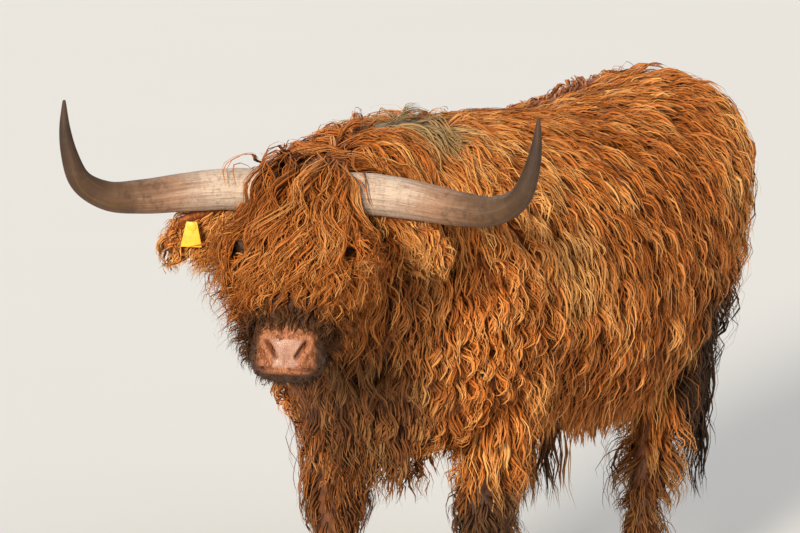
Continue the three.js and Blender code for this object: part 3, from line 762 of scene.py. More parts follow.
def dark_hair_and_shade(at, muzzle):
    """Dark at the knees, the rear of the thighs, the tail's end, round the eyes and on the muzzle's sides, and
    painted shade round the eyes, on the far foreleg, on the chest and beside the head.
    """
    high, on_head = at.high, at.on("skull")
    hind = at.on("hind_left", "hind_right")
    dark = np.zeros(len(high))
    # The far foreleg is dark above the knee too: painted shade.
    for name, knee, upper in (("fore_left", 0.88, 0.0), ("fore_right", 0.66, 0.46)):
        below = 1 - ease(high, 0.44, 0.53)
        dark = np.where(at.on(name), upper + (knee - upper) * below, dark)
    dark = np.where(hind, 0.70 * (1 - ease(high, 0.34, 0.52)), dark)
    rear = ease(0.88 * np.abs(at.body[:, 0]) + 0.47 * at.body[:, 1] + 0.05 * hind, 0.395, 0.44)
    rear = rear * ease(high, 0.24, 0.34) * (1 - ease(high, 0.74, 0.84))
    dark = np.maximum(dark, 0.92 * rear)
    dark = np.where(at.on("tail"), 0.15 + 0.8 * ease(1 - high, -0.03, 0.2), dark)
    # Dark patches, with painted shade on the chest and beside the head.
    dark = np.maximum(dark, patches(at.body, DARK_AND_SHADED_PLACES))
    fringe = ease(at.share, 0.66 - 0.05 * ease(at.turn, 1.0, 1.6), 0.74) * (1 - ease(at.share, 0.86, 0.90))
    lips = ease(at.share, 0.8, 0.88) * (1 - muzzle)
    face = np.maximum.reduce([0.85 * fringe, 0.88 * lips, np.full(len(high), 0.12)])
    # Round the eyes: dark hair with painted shade.
    for mirror in (LEFT, RIGHT):
        face = np.maximum(face, 0.75 * (1 - ease(at.from_eye(mirror), 0.024, 0.044)))
    return np.maximum(dark, np.where(on_head, face, 0))


def markings(at):
    """The coat's colours at some places, with painted light and shade: how dark it is (with painted shade), how
    dusty, how pale (with painted light on the near foreleg and partly on the ears), how bare the skin is, and
    where the short hair of the muzzle grows."""
    on_head = at.on("skull")
    wide = np.abs(at.head[:, 0]) / MM
    rise = at.head[:, 2] / MM
    half = table(rise, (-46, 26), (-38, 24), (-28, 25), (-18, 36), (-8, 43))
    bare = ease(rise, -46, -42) * (1 - ease(rise, -9, -5)) * (1 - ease(wide, half - 1, half + 3))
    bare = np.where(on_head & (at.share > 0.88), bare, 0)
    muzzle = ease(at.share, 0.83, 0.885) * (1 - ease(wide, 40, 64)) * ease(rise, -60, -50)
    muzzle = np.where(on_head, muzzle, 0)
    dust = blob(at.body, (0.0, -0.56, 1.21), (0.12, 0.17, 0.13))
    pale = patches(at.body, PALE_PLACES)
    # The near foreleg's golden hair is paler than the far one's: partly painted light.
    pale = np.where(at.on("fore_left"), 0.8 * ease(at.high, 0.40, 0.48), pale)
    # Golden ear hair, made paler partly as painted sunlight.
    pale = np.where(at.on("ear_left", "ear_right"), 0.9, pale)
    return dark_hair_and_shade(at, muzzle), dust, pale, bare, muzzle


def hide_material(hide, coat):
    paint = Paint("Hide")
    dark, dust, muzzle = paint.stored("markings")
    bare, lid, deep = paint.stored("skin")
    flow = paint.noise(1.0, 4, 0.65, paint.stretched((230, 230, 36)))
    hair = paint.mix(flow.ease(0.35, 0.7), [1.5 * c for c in coat.root], [0.8 * c for c in coat.warm])
    # Dark hair, with painted shade on the chest, beside the head, on the far foreleg and round the eyes.
    hair = paint.mix(dark, hair, coat.dark)
    hair = paint.mix(dust * 0.6, hair, coat.dust)
    hairs = paint.noise(1.0, 4, 0.6, paint.stretched((420, 420, 90)))
    short = paint.mix(hairs.ease(0.3, 0.7), (0.17, 0.045, 0.018), (0.46, 0.19, 0.085))
    hair = paint.mix(muzzle, hair, short)
    cells = paint.node(
        "ShaderNodeTexVoronoi", {"feature": "DISTANCE_TO_EDGE"}, Vector=paint.object, Scale=260.0
    )
    patch = paint.noise(55, 3)
    pink = paint.mix(patch.ease(0.35, 0.7), hide.nose_deep, hide.nose)
    pink = paint.mix(cells.ease(0.0, 0.12), [0.55 * c for c in hide.nose], pink)
    colour = paint.mix(bare, hair, pink)
    # Dark skin of the lids, with painted shade round the eyes.
    colour = paint.mix(lid, colour, (0.030, 0.013, 0.009))
    # Painted shade inside the nostrils and along the mouth's line.
    colour = paint.mix(deep, colour, (0.028, 0.010, 0.007))
    grain = paint.noise(220, 4) * 0.4 + flow * (1 - bare)
    grain = grain + cells.ease(0.0, 0.2) * bare * 0.45 + hairs * muzzle * (1 - bare)
    rough = 0.72 - bare * 0.42
    return paint.finish(colour, rough, paint.bump(grain, 0.0012, 0.6), Specular_IOR_Level=0.3)


def lid_zone(points):
    zone = np.zeros(len(points))
    for mirror in (LEFT, RIGHT):
        centre, look, across, up = eye_frame(mirror)
        off = points - centre
        front = (off @ look) > -0.012
        zone = np.maximum(zone, (1 - ease(lid_opening(off @ across, off @ up), 1.1, 1.5)) * front)
    return zone


def hollow_shade_zone(points):
    """Painted shade: the dark inside of the nostrils and the line of the mouth."""
    head = to_head(points)
    zone = 1 - ease(line_distance(head, head_line(MOUTH)), 0.002, 0.006)
    for mirror in (LEFT, RIGHT):
        zone = np.maximum(zone, 1 - ease(line_distance(head, head_line(NOSTRIL, mirror)), 0.0025, 0.0060))
    return zone


class COW_OT_skin(bpy.types.Operator):
    """Make the cow's skin in one piece, with its lids, ears, nostrils and mouth"""

    bl_idname = "cow.skin"
    bl_label = "Skin"

    def execute(self, context):
        settings = context.scene.cow_hide
        parts = [tube(name, form.rings(28)) for name, form in FORMS.items()]
        skin = joined("skin", parts)
        apply_modifier(skin, "REMESH", mode="VOXEL", voxel_size=settings.detail, use_smooth_shade=True)
        apply_modifier(skin, "SMOOTH", factor=0.5, iterations=8)
        self.refine(skin)
        mesh = skin.data
        points = places(mesh)
        points = shape_ears(points)
        for mirror in (LEFT, RIGHT):
            points = shape_lids(points, mirror)
        put(mesh, points)
        put(mesh, shape_muzzle(points, vertex_normals(mesh)))
        self.thin(skin)
        self.unwrap(skin)
        points = places(skin.data)
        dark, dust, _, bare, muzzle = markings(Places(points))
        store(skin.data, "markings", np.stack([dark, dust, muzzle], 1))
        store(skin.data, "skin", np.stack([bare, lid_zone(points), hollow_shade_zone(points)], 1))
        material = hide_material(settings, context.scene.cow_coat)
        finish_piece(skin, FLESH, material)
        return {"FINISHED"}

    def refine(self, skin):
        """Cuts the skin finer round the eyes and the muzzle."""
        head = to_head(places(skin.data))
        ahead = -head[:, 1]
        fine = (ahead > 0.29) & (ahead < 0.46) & (np.abs(head[:, 0]) < 0.11) & (head[:, 2] > -0.13)
        for mirror in (LEFT, RIGHT):
            fine |= np.linalg.norm(head - mirrored(EYE_AT, mirror), axis=1) < 0.052
        activate(skin)
        bpy.ops.object.mode_set(mode="EDIT")
        bpy.ops.mesh.select_mode(type="VERT")
        bpy.ops.mesh.select_all(action="DESELECT")
        bpy.ops.object.mode_set(mode="OBJECT")
        skin.data.vertices.foreach_set("select", fine)
        bpy.ops.object.mode_set(mode="EDIT")
        bpy.ops.mesh.subdivide(number_cuts=2, smoothness=0)
        bpy.ops.mesh.vertices_smooth(factor=0.5, repeat=6)
        bpy.ops.object.mode_set(mode="OBJECT")

    def thin(self, skin):
        """Drops faces where the skin is plain and keeps them on the head."""
        points = to_head(places(skin.data))
        keep = 1 - ease(np.linalg.norm(points - [0, -0.2, -0.05], axis=1), 0.26, 0.40)
        group = skin.vertex_groups.new(name="plain")
        for step in range(11):
            chosen = np.flatnonzero(np.round(keep * 10) == step)
            group.add(chosen.tolist(), max(0.0, 1 - step / 10), "REPLACE")
        faces = sum(len(p.vertices) - 2 for p in skin.data.polygons)
        ratio = min(1.0, SKIN_TRIANGLES / faces)
        apply_modifier(skin, "DECIMATE", ratio=ratio, vertex_group="plain", vertex_group_factor=2.0)
        skin.vertex_groups.clear()

    def unwrap(self, skin):
        activate(skin)
        while skin.data.uv_layers:
            skin.data.uv_layers.remove(skin.data.uv_layers[0])
        skin.data.uv_layers.new(name="OFBake")
        bpy.ops.object.mode_set(mode="EDIT")
        bpy.ops.mesh.select_all(action="SELECT")
        bpy.ops.uv.smart_project(angle_limit=math.radians(66), island_margin=0.002)
        bpy.ops.object.mode_set(mode="OBJECT")
        smooth(skin)


# ---------------------------------------------------------------- coat

# How many places of the skin are tried for a tuft, the steps of a guide hair and the tufts that share one, and
# the size of a tuft's patch on the unwrap.
SAMPLES = 330000
GUIDE_STEPS = 18
TUFTS_PER_GUIDE = 8
PATCH = 0.003

# How hair grows where nothing else is said. Lengths are in metres, and the density in tufts for a square metre.
# A tuft has its length, the coat's depth above it and how much of that its layers take, its width, the size,
# pitch and roundness of its waves, how much it hangs, how much the skin holds it, how much it gathers with its
# neighbours, how far it strays, how much its end bends aside and how steeply it leaves the skin.
USUAL = {
    "density": 4500.0, "length": 0.15, "depth": 0.03, "layer": 1.0, "wide": 0.006, "wave": 0.006, "pitch": 0.11,
    "curl": 0.3, "hang": 0.15, "hold": 0.9, "clump": 0.7, "stray": 0.12, "hook": 0.06, "lift": 0.6,
}


class Growth:
    """How the hair grows at some places of the skin: the values of USUAL, and which way it wants to lie."""

    def __init__(self, points, normals):
        self.at = Places(points)
        self.normals = normals
        self.turn = np.degrees(self.at.turn)
        self.map = {key: np.full(len(points), value) for key, value in USUAL.items()}
        self.map["want"] = np.tile(-Z, (len(points), 1))
        self.torso()
        self.neck_and_belly()
        self.legs()
        self.tail()
        self.face()
        self.ears()
        self.nape()
        dark, dust, pale, bare, muzzle = markings(self.at)
        self.map["marks"] = np.stack([dark, dust, muzzle], 1)
        self.map["pale"] = pale
        self.bare_places(points, bare)
        self.map["name"] = self.piece_names()

    def give(self, mask, **values):
        """Sets values where the mask holds, each a single one or one for every place."""
        for key, value in values.items():
            if np.ndim(value) > self.map[key].ndim - 1 and np.shape(value)[0] == len(mask):
                value = value[mask]
            self.map[key][mask] = value

    def torso(self):
        """Parted along the back, swept back and down on the ribs, hanging at the belly, curly on the chest."""
        body, along, turn, normals = self.at.body, self.at.along, self.turn, self.normals
        torso, neck = self.at.on("torso"), self.at.on("neck")
        side = np.tanh((body[:, 0] - np.where(neck, 0.02, -0.09)) / np.where(neck, 0.03, 0.08))
        top = np.clip(normals[:, 2], 0, 1)
        back = table(along, (0, 0.0), (0.10, 0.10), (0.22, 0.35), (0.5, 0.50), (0.8, 0.42), (1, 0.15))
        back = back * table(turn, (0, 2.2), (20, 1.6), (40, 1.0), (80, 0.6), (110, 0.35), (150, 0.1))
        back = np.where(neck, table(turn, (0, 0.25), (30, 0.12), (60, 0.08)), back)
        want = -Z * (1 - 0.55 * top)[:, None] + X * (side * top * 0.75)[:, None] + Y * back[:, None]
        self.give(
            torso | neck,
            want=want,
            density=table(turn, (0, 15000), (25, 12000), (40, 10000), (100, 9500), (180, 5000)),
            length=table(turn, (0, 0.11), (45, 0.135), (90, 0.15), (115, 0.155), (135, 0.14), (180, 0.11)),
            depth=table(turn, (0, 0.014), (20, 0.020), (60, 0.034), (100, 0.042), (130, 0.045), (180, 0.04)),
            lift=table(turn, (0, 0.2), (25, 0.35), (60, 0.6)),
            hang=table(turn, (0, 0.1), (60, 0.15), (100, 0.4), (130, 0.8)),
            hold=table(turn, (0, 0.95), (90, 0.95), (115, 0.8), (140, 0.3)),
            wave=table(along, (0.2, 0.0040), (0.4, 0.0022)), pitch=0.16, wide=0.0048, clump=0.3, layer=0.6,
            stray=table(turn, (0, 0.15), (14, 0.12), (90, 0.10)),
        )
        self.give(torso & (body[:, 0] < 0) & (turn < 80), depth=0.014, lift=0.15, wave=0.0012, stray=0.05)
        self.give(torso & (turn < 30), wave=0.0016, hook=0.0)
        self.give(
            torso & (along < 0.2),
            density=13000.0,
            length=table(turn, (0, 0.14), (90, 0.115), (120, 0.085), (155, 0.07), (170, 0.10)),
            hold=table(turn, (90, 0.95), (165, 0.9), (175, 0.5)), hang=table(turn, (100, 0.3), (180, 0.6)),
            depth=table(turn, (0, 0.038), (110, 0.034), (150, 0.024), (175, 0.034)),
            wave=0.0068, pitch=0.070, curl=0.9, clump=0.32, wide=0.0044, stray=0.22, hook=0.10,
        )

    def neck_and_belly(self):
        """The mane, the longer hair between the forelegs and the tuft under the belly."""
        body, along, turn = self.at.body, self.at.along, self.turn
        torso, neck = self.at.on("torso"), self.at.on("neck")
        self.give(
            neck,
            density=16000.0 + 12000 * ease(along, 0.3, 0.6) * (1 - ease(turn, 50, 80)),
            length=table(turn, (0, 0.21), (60, 0.19), (110, 0.13), (180, 0.11)),
            depth=table(turn, (0, 0.034), (90, 0.046), (180, 0.04)),
            wave=0.0075, pitch=0.11, curl=0.45, clump=0.4, hang=0.65, wide=0.0040, hook=0.1,
            stray=table(turn, (0, 0.30), (40, 0.18), (90, 0.16)),
            hold=table(turn, (0, 0.95), (90, 0.85), (130, 0.3)),
        )
        brisket = torso & (along < 0.2) & (turn > 150)
        self.give(brisket, length=np.where(body[:, 0] < 0.10, 0.14, 0.06), hang=0.9, hold=0.4)
        tuft = torso & (np.abs(body[:, 1] - 0.02) < 0.10) & (np.abs(body[:, 0]) < 0.075) & (turn > 150)
        self.give(tuft, density=15000.0, length=0.27, hang=1.0, hold=0.0, clump=0.92, wave=0.008)

    def legs(self):
        """Long above the knee and hock, short below, with a fringe over the claws."""
        high, behind = self.at.high, self.normals[:, 1]
        hind = self.at.on("hind_left", "hind_right")
        leg = self.at.on("fore_left", "fore_right") | hind
        self.give(
            leg,
            want=-Z + Y * 0.22,
            density=table(high, (0.07, 26000), (0.3, 21000), (0.45, 16000), (0.7, 12000)),
            length=table(high, (0.09, 0.04), (0.2, 0.042), (0.33, 0.055), (0.45, 0.10), (0.6, 0.13)),
            depth=table(high, (0.1, 0.007), (0.35, 0.010), (0.5, 0.042), (0.8, 0.046)),
            wide=table(high, (0.1, 0.0030), (0.45, 0.0042), (0.7, 0.0046)),
            lift=table(high, (0.3, 0.25), (0.5, 0.5)),
            wave=table(high, (0.1, 0.0015), (0.5, 0.0035)),
            pitch=table(high, (0.1, 0.05), (0.5, 0.065)),
            curl=0.6, hang=0.3, hold=0.9, clump=0.3, stray=0.10, hook=0.04,
        )
        self.give(
            hind,
            length=table(high, (0.09, 0.04), (0.16, 0.05), (0.26, 0.07), (0.36, 0.13), (0.7, 0.16)),
            depth=table(high, (0.1, 0.007), (0.22, 0.014), (0.32, 0.045), (0.45, 0.070), (0.8, 0.06)),
        )
        thigh = hind & (high > 0.34) & (high < 0.64) & (behind < 0.1)
        self.give(thigh, depth=0.07, hang=0.9, hold=0.7, length=0.15)
        self.give(self.at.on("fore_right") & (high > 0.46), length=0.17, hang=0.7, hold=0.5)
        self.give(leg & (high < 0.36) & (behind > 0.35), length=0.075, hold=0.4)
        self.give(leg & (high < 0.27) & (behind > 0.1), length=0.09, hold=0.3, hang=0.9, depth=0.034, lift=0.9)
        self.give(leg & (high < 0.105) & (behind < 0.1), length=0.048, hold=0.5, hang=0.9)

    def tail(self):
        """Close on the dock, long and full on the switch."""
        high = self.at.high
        self.give(
            self.at.on("tail"),
            want=-Z + 0.15 * self.normals,
            density=16000.0,
            length=table(high, (0.35, 0.26), (0.7, 0.30), (0.9, 0.2), (1.05, 0.13)),
            depth=table(high, (0.5, 0.024), (0.8, 0.034), (1.05, 0.022)),
            wave=0.007, pitch=0.13, curl=0.7, hang=0.9, hold=0.4, clump=0.6, wide=0.0042,
        )

    def face(self):
        """The forelock spreads from the poll, the face is wavy and ever shorter down to the nose."""
        head, share, turn = self.at.head, self.at.share, self.turn
        n = len(share)
        skull = self.at.on("skull")
        spread = np.clip(head[:, 0] / 0.085, -1.25, 1.25)
        spread = spread * np.maximum(np.abs(spread), ease(share, 0.2, 0.5))
        aside = table(share, (-0.1, 1.1), (0.25, 1.0), (0.4, 0.75))
        to_nose = np.stack([spread * aside, -np.ones(n), np.full(n, -0.1)], 1) @ HEAD_AXES.T
        cheek = ease(turn, 55, 95)[:, None]
        outward = np.stack([np.sign(head[:, 0]), np.zeros(n), np.zeros(n)], 1) @ HEAD_AXES.T
        full = ease(share, 0.35, 0.55)[:, None]
        want = unit(to_nose) * (1 - cheek) + (outward * (0.1 + 0.75 * full) - Z) * cheek
        front = ease(share, 0.6, 0.75)[:, None] * (1 - ease(turn, 80, 110))[:, None]
        down_face = np.array([0, -1, 0]) @ HEAD_AXES.T + np.sign(head[:, :1]) * 0.35 * X
        want = want * (1 - front) + down_face * front
        short = ease(share, 0.84, 0.88)
        cheeks = ease(turn, 50, 80) * (1 - ease(turn, 125, 145)) * (1 - ease(share, 0.78, 0.86))
        crown = table(
            share, (-0.2, 0.30), (0.05, 0.30), (0.2, 0.23), (0.35, 0.155), (0.5, 0.11), (0.62, 0.085),
            (0.79, 0.052), (0.86, 0.030),
        )
        flank = table(share, (-0.2, 0.20), (0.2, 0.13), (0.45, 0.085), (0.72, 0.09), (0.86, 0.065))
        under = table(share, (0, 0.12), (0.5, 0.10), (0.8, 0.06), (0.9, 0.032), (1.0, 0.022))
        c = ease(turn, 45, 85)
        length = crown * (1 - c) + flank * c * np.where(head[:, 0] > 0, 0.8, 1)
        c = ease(turn, 110, 140)
        length = length * (1 - c) + under * c
        length = np.where((share > 0.86) & (turn < 125), 0.011, length)
        depth = table(share, (0, 0.040), (0.4, 0.032), (0.6, 0.026), (0.76, 0.018), (0.84, 0.010), (0.87, 0.002))
        self.give(
            skull,
            want=want,
            length=length,
            density=34000.0 + 14000 * short,
            depth=depth * (1 + np.where(head[:, 0] > 0, 0.2, 2.1) * cheeks),
            wide=table(share, (0, 0.0036), (0.3, 0.0032), (0.75, 0.0025), (0.84, 0.0020), (0.87, 0.0012)),
            wave=table(share, (0, 0.013), (0.3, 0.014), (0.6, 0.009), (0.75, 0.006), (0.84, 0.004), (0.87, 0.0)),
            pitch=table(share, (0, 0.10), (0.3, 0.078), (0.6, 0.058), (0.75, 0.045)),
            curl=table(share, (0, 0.55), (0.5, 0.9)),
            hook=table(share, (0, 0.2), (0.6, 0.24), (0.84, 0.2), (0.87, 0.0)),
            stray=table(share, (-0.1, 0.14), (0.1, 0.16), (0.4, 0.26), (0.7, 0.26), (0.84, 0.2), (0.87, 0.05)),
            clump=table(share, (0, 0.55), (0.7, 0.5), (0.84, 0.4), (0.87, 0.3)),
            hang=table(share, (0, 0.55), (0.6, 0.4), (0.8, 0.1)),
            hold=table(share, (0, 0.75), (0.8, 0.95)) * (1 - 0.55 * cheeks),
        )
        self.give(skull & (turn > 120), hold=0.3, hang=0.9)
        crest = skull & (share < 0.22) & (turn < 70)
        self.give(crest, density=42000.0)
        by_horns = crest & (np.abs(head[:, 0]) > 0.04)
        self.give(by_horns, wave=0.004, hook=0.0, stray=0.0, lift=0.15, curl=0.2, depth=0.02)

    def ears(self):
        """Out along the ears, and hanging from their lower edge."""
        side = np.sign(self.at.head[:, 0])
        nothing = np.zeros(len(side))
        edge = table(self.at.along, (0, 0.16), (0.3, 0.12), (0.5, 0.07), (1, 0.055))
        self.give(
            self.at.on("ear_left", "ear_right"),
            want=np.stack([side * 0.75, nothing, nothing], 1) @ HEAD_AXES.T - 0.8 * Z,
            length=np.where(self.normals[:, 2] < -0.2, edge, 0.055),
            density=30000.0, depth=0.011, wide=0.0028,
            wave=0.006, pitch=0.06, curl=0.5, clump=0.7, hang=0.8, hold=0.5,
        )

    def nape(self):
        """Between the mane and the forelock the hair stands and crosses."""
        nape = blob(self.at.body, (0.02, -0.83, 1.24), (0.13, 0.12, 0.11))
        for key, more in (("stray", 0.4), ("lift", 0.5), ("hook", 0.1), ("hang", 0.3)):
            self.map[key] = self.map[key] + more * nape
        self.map["density"] = self.map["density"] * (1 + 1.2 * nape)

    def bare_places(self, points, bare):
        """No hair on the nose pad, the lids' edges, the mouth, the nostrils and the claws, and short hair
        round the eyes."""
        self.map["density"] *= 1 - ease(bare, 0.2, 0.7)
        self.map["density"] *= 1 - ease(lid_zone(points), 0.1, 0.5)
        none = (line_distance(self.at.head, head_line(MOUTH)) < 0.006) | (self.at.high < 0.076)
        for mirror in (LEFT, RIGHT):
            none |= line_distance(self.at.head, head_line(NOSTRIL, mirror)) < 0.012
            close = 1 - ease(self.at.from_eye(mirror), 0.028, 0.05)
            for key, less in (("length", 0.82), ("wide", 0.4), ("depth", 0.8)):
                self.map[key] = self.map[key] * (1 - less * close)
        self.map["density"] = np.where(none, 0, self.map["density"])

    def piece_names(self):
        """The piece of the coat that each place belongs to."""
        at = self.at
        skull, neck, torso = at.on("skull"), at.on("neck"), at.on("torso")
        face = at.on("ear_left", "ear_right") | (skull & (at.share > 0.42))
        left, front = at.body[:, 0] > 0, torso & (at.along < 0.42)
        rules = [
            (face & (at.head[:, 0] > 0), "face_left"), (face, "face_right"),
            (skull & (at.head[:, 0] > 0), "forelock_left"), (skull, "forelock_right"),
            (neck & left, "mane_left"), (neck, "mane_right"),
            (at.on("fore_left", "fore_right"), "fore_legs"), (at.on("hind_left", "hind_right"), "hind_legs"),
            (at.on("tail"), "tail"),
            (front & left, "left_shoulder"), (torso & left, "left_flank"), (front, "right_shoulder"),
        ]
        return np.select([mask for mask, _ in rules], [name for _, name in rules], "right_flank")


def sample_skin(skin, rng, count):
    """Random places on the skin: the point, the normal and its place on the unwrap."""
    mesh = skin.data
    mesh.calc_loop_triangles()
    corners = np.empty(len(mesh.loop_triangles) * 3, np.int64)
    mesh.loop_triangles.foreach_get("vertices", corners)
    loops = np.empty(len(corners), np.int64)
    mesh.loop_triangles.foreach_get("loops", loops)
    corners, loops = corners.reshape(-1, 3), loops.reshape(-1, 3)
    points = places(mesh)
    normals = vertex_normals(mesh)
    flat = np.empty(len(mesh.loops) * 2, np.float32)
    mesh.uv_layers["OFBake"].data.foreach_get("uv", flat)
    uv = flat.reshape(-1, 2)
    a, b, c = points[corners[:, 0]], points[corners[:, 1]], points[corners[:, 2]]
    area = np.linalg.norm(np.cross(b - a, c - a), axis=1) / 2
    edges = np.cumsum(area)
    where = np.searchsorted(edges, (np.arange(count) + rng.random(count)) / count * edges[-1])
    where = np.minimum(where, len(area) - 1)
    r = np.sqrt(rng.random(count))[:, None]
    s = rng.random(count)[:, None]
    w = np.concatenate([1 - r, r * (1 - s), r * s], axis=1)

    def blend(values, index):
        picked = values[index[where]]
        return (picked * w[:, :, None]).sum(axis=1)

    return blend(points, corners), unit(blend(normals, corners)), blend(uv, loops), edges[-1]


class Ground:
    """The skin and the horns, asked for their nearest places."""

    def __init__(self, skin, tubes):
        points = [tuple(vert.co) for vert in skin.data.vertices]
        faces = [tuple(polygon.vertices) for polygon in skin.data.polygons]
        for rings in tubes:
            start, sides = len(points), len(rings[0])
            points += [tuple(point) for ring in rings for point in ring.tolist()]
            for i in range(len(rings) - 1):
                for k in range(sides):
                    a, b = start + i * sides + k, start + i * sides + (k + 1) % sides
                    faces.append((a, a + sides, b + sides, b))
        self.tree = BVHTree.FromPolygons(points, faces)

    def nearest(self, points):
        flat = points.reshape(-1, 3)
        spots = np.empty_like(flat)
        normals = np.empty_like(flat)
        find = self.tree.find_nearest
        for i, p in enumerate(flat.tolist()):
            spot, normal, _, _ = find(p)
            spots[i] = spot
            normals[i] = normal
        return spots.reshape(points.shape), normals.reshape(points.shape)


def march(ground, roots, normals, grow, steps):
    """Guide hairs: each sets out from the skin, lies down along the coat and sinks with its weight."""
    here = roots - normals * 0.004
    want = unit(grow["want"])
    lie = unit(want - normals * dot(want, normals))
    heading = unit(lie + normals * grow["lift"][:, None])
    step = (grow["length"] / steps)[:, None]
    depth, hang, hold = (grow[key][:, None] for key in ("depth", "hang", "hold"))
    path, ups = [here], [normals]
    for i in range(steps):
        s = (i + 1) / steps
        here = here + heading * step
        spot, up = ground.nearest(here)
        height = dot(here - spot, up)
        weight = hang * s
        pull = unit(want * (1 - weight) - Z * weight)
        into = dot(pull, up)
        pull = pull - up * (np.minimum(into, 0) + np.maximum(into, 0) * hold)
        rise = depth * (1 - math.exp(-5 * s)) * (1 - 0.72 * s * s)
        lift = np.clip((rise - height) / step, -0.7, 1.2)
        lift = np.where(lift < 0, lift * hold, lift)
        heading = unit(0.5 * heading + 0.6 * unit(pull) + 0.55 * lift * up)
        path.append(here)
        ups.append(unit(0.5 * ups[-1] + 0.5 * up))
    return np.stack(path, 1), np.stack(ups, 1)


def frames(path, ups):
    """The ways ahead, across and up at each point of each line."""
    ahead = unit(np.gradient(path, axis=1))
    across = unit(np.cross(ahead, ups))
    return ahead, across, np.cross(across, ahead)


def comb(ground, roots, normals, grow, rng):
    """Every tuft's middle line. Tufts share the guide that is nearest, and gather towards its tip."""
    count = len(roots)
    chosen = rng.permutation(count)[: max(1, count // TUFTS_PER_GUIDE)]
    g = {key: value[chosen] for key, value in grow.items()}
    g["depth"] = g["depth"] * rng.uniform(0.55, 1.15, len(chosen))
    g["want"] = unit(g["want"]) + rng.normal(0, 1, (len(chosen), 3)) * g["stray"][:, None]
    path, ups = march(ground, roots[chosen], normals[chosen], g, GUIDE_STEPS)
    ahead, across, up = frames(path, ups)
    s = np.linspace(0, 1, GUIDE_STEPS + 1)[None, :, None]
    phase = rng.uniform(0, 2 * math.pi, (len(chosen), 1, 1))
    angle = 2 * math.pi * s * (g["length"] / g["pitch"])[:, None, None] + phase
    size = (g["wave"] * rng.uniform(0.5, 1.4, len(chosen)))[:, None, None] * ease(s, 0.0, 0.4)
    curl = g["curl"][:, None, None]
    path = path + size * (np.sin(angle) * across + curl * np.cos(angle) * up)
    hook = rng.normal(0, 1, len(chosen)) * g["hook"] * g["length"]
    path = path + hook[:, None, None] * s**2 * across

    tree = kdtree.KDTree(len(chosen))
    for i, key in enumerate((roots[chosen] + 0.04 * normals[chosen]).tolist()):
        tree.insert(key, i)
    tree.balance()
    mine = np.array([tree.find(key)[1] for key in (roots + 0.04 * normals).tolist()])
    off = roots - roots[chosen][mine]
    off_across, off_ahead = dot(off, across[mine, 0]), dot(off, ahead[mine, 0])
    return path, ups, mine, off_across, off_ahead, ahead, across, up


def crossing(line, centre, ray, room, widening):
    """How deep each point lies in a cone that opens along a ray, and the way out of it."""
    off = line - centre
    reach = dot(off, ray)
    radial = off - reach * ray
    far = np.maximum(np.linalg.norm(radial, axis=-1, keepdims=True), 1e-4)
    deep = (room + widening * np.clip(reach, 0, 0.16) - far) * ((reach > -0.01) & (reach < 0.16))
    return np.maximum(deep, 0), radial / far


def parted(line, cones):
    """Bends whole hairs so that they fall beside the cones, and tells which ones are clear of them."""
    s = np.linspace(0, 1, line.shape[1])[None, :, None]
    rows = np.arange(len(line))
    for cone in [*cones] * 3:
        deep, way = crossing(line, *cone)
        worst = deep[:, :, 0].argmax(axis=1)
        shift = (deep * way)[rows, worst][:, None, :]
        line = line + shift * ease(s, 0.0, np.maximum(worst / (line.shape[1] - 1), 0.15)[:, None, None])
    deep = np.max([crossing(line, *cone)[0].max(axis=(1, 2)) for cone in cones], axis=0)
    return line, deep < 0.002


def sight_cones():
    """In front of the eyes and the ear tag no hair hangs."""
    cones = []
    for mirror in (LEFT, RIGHT):
        centre, look, _, _ = eye_frame(mirror)
        cones.append((centre, unit(0.3 * look + np.array([0, -1.5, 1.32]) @ HEAD_AXES.T), 0.0112, 0.13))
    tag = from_head(np.array(upright(-228, 4, -92)) * MM)
    return [*cones, (tag, unit(np.array([0.35, -0.9, 0.15])), 0.0045, 0.01)]


def clear_of_horns(line, room):
    """Which hairs keep off the horns beyond their roots."""
    keep = np.ones(len(line), bool)
    for mirror in (LEFT, RIGHT):
        t, _, _, miss = horn_form(mirror, HORN_ROOT).locate(line.reshape(-1, 3))
        over = (t > 0.18) & (miss < room)
        keep &= ~over.reshape(line.shape[:2]).any(axis=1)
    return keep


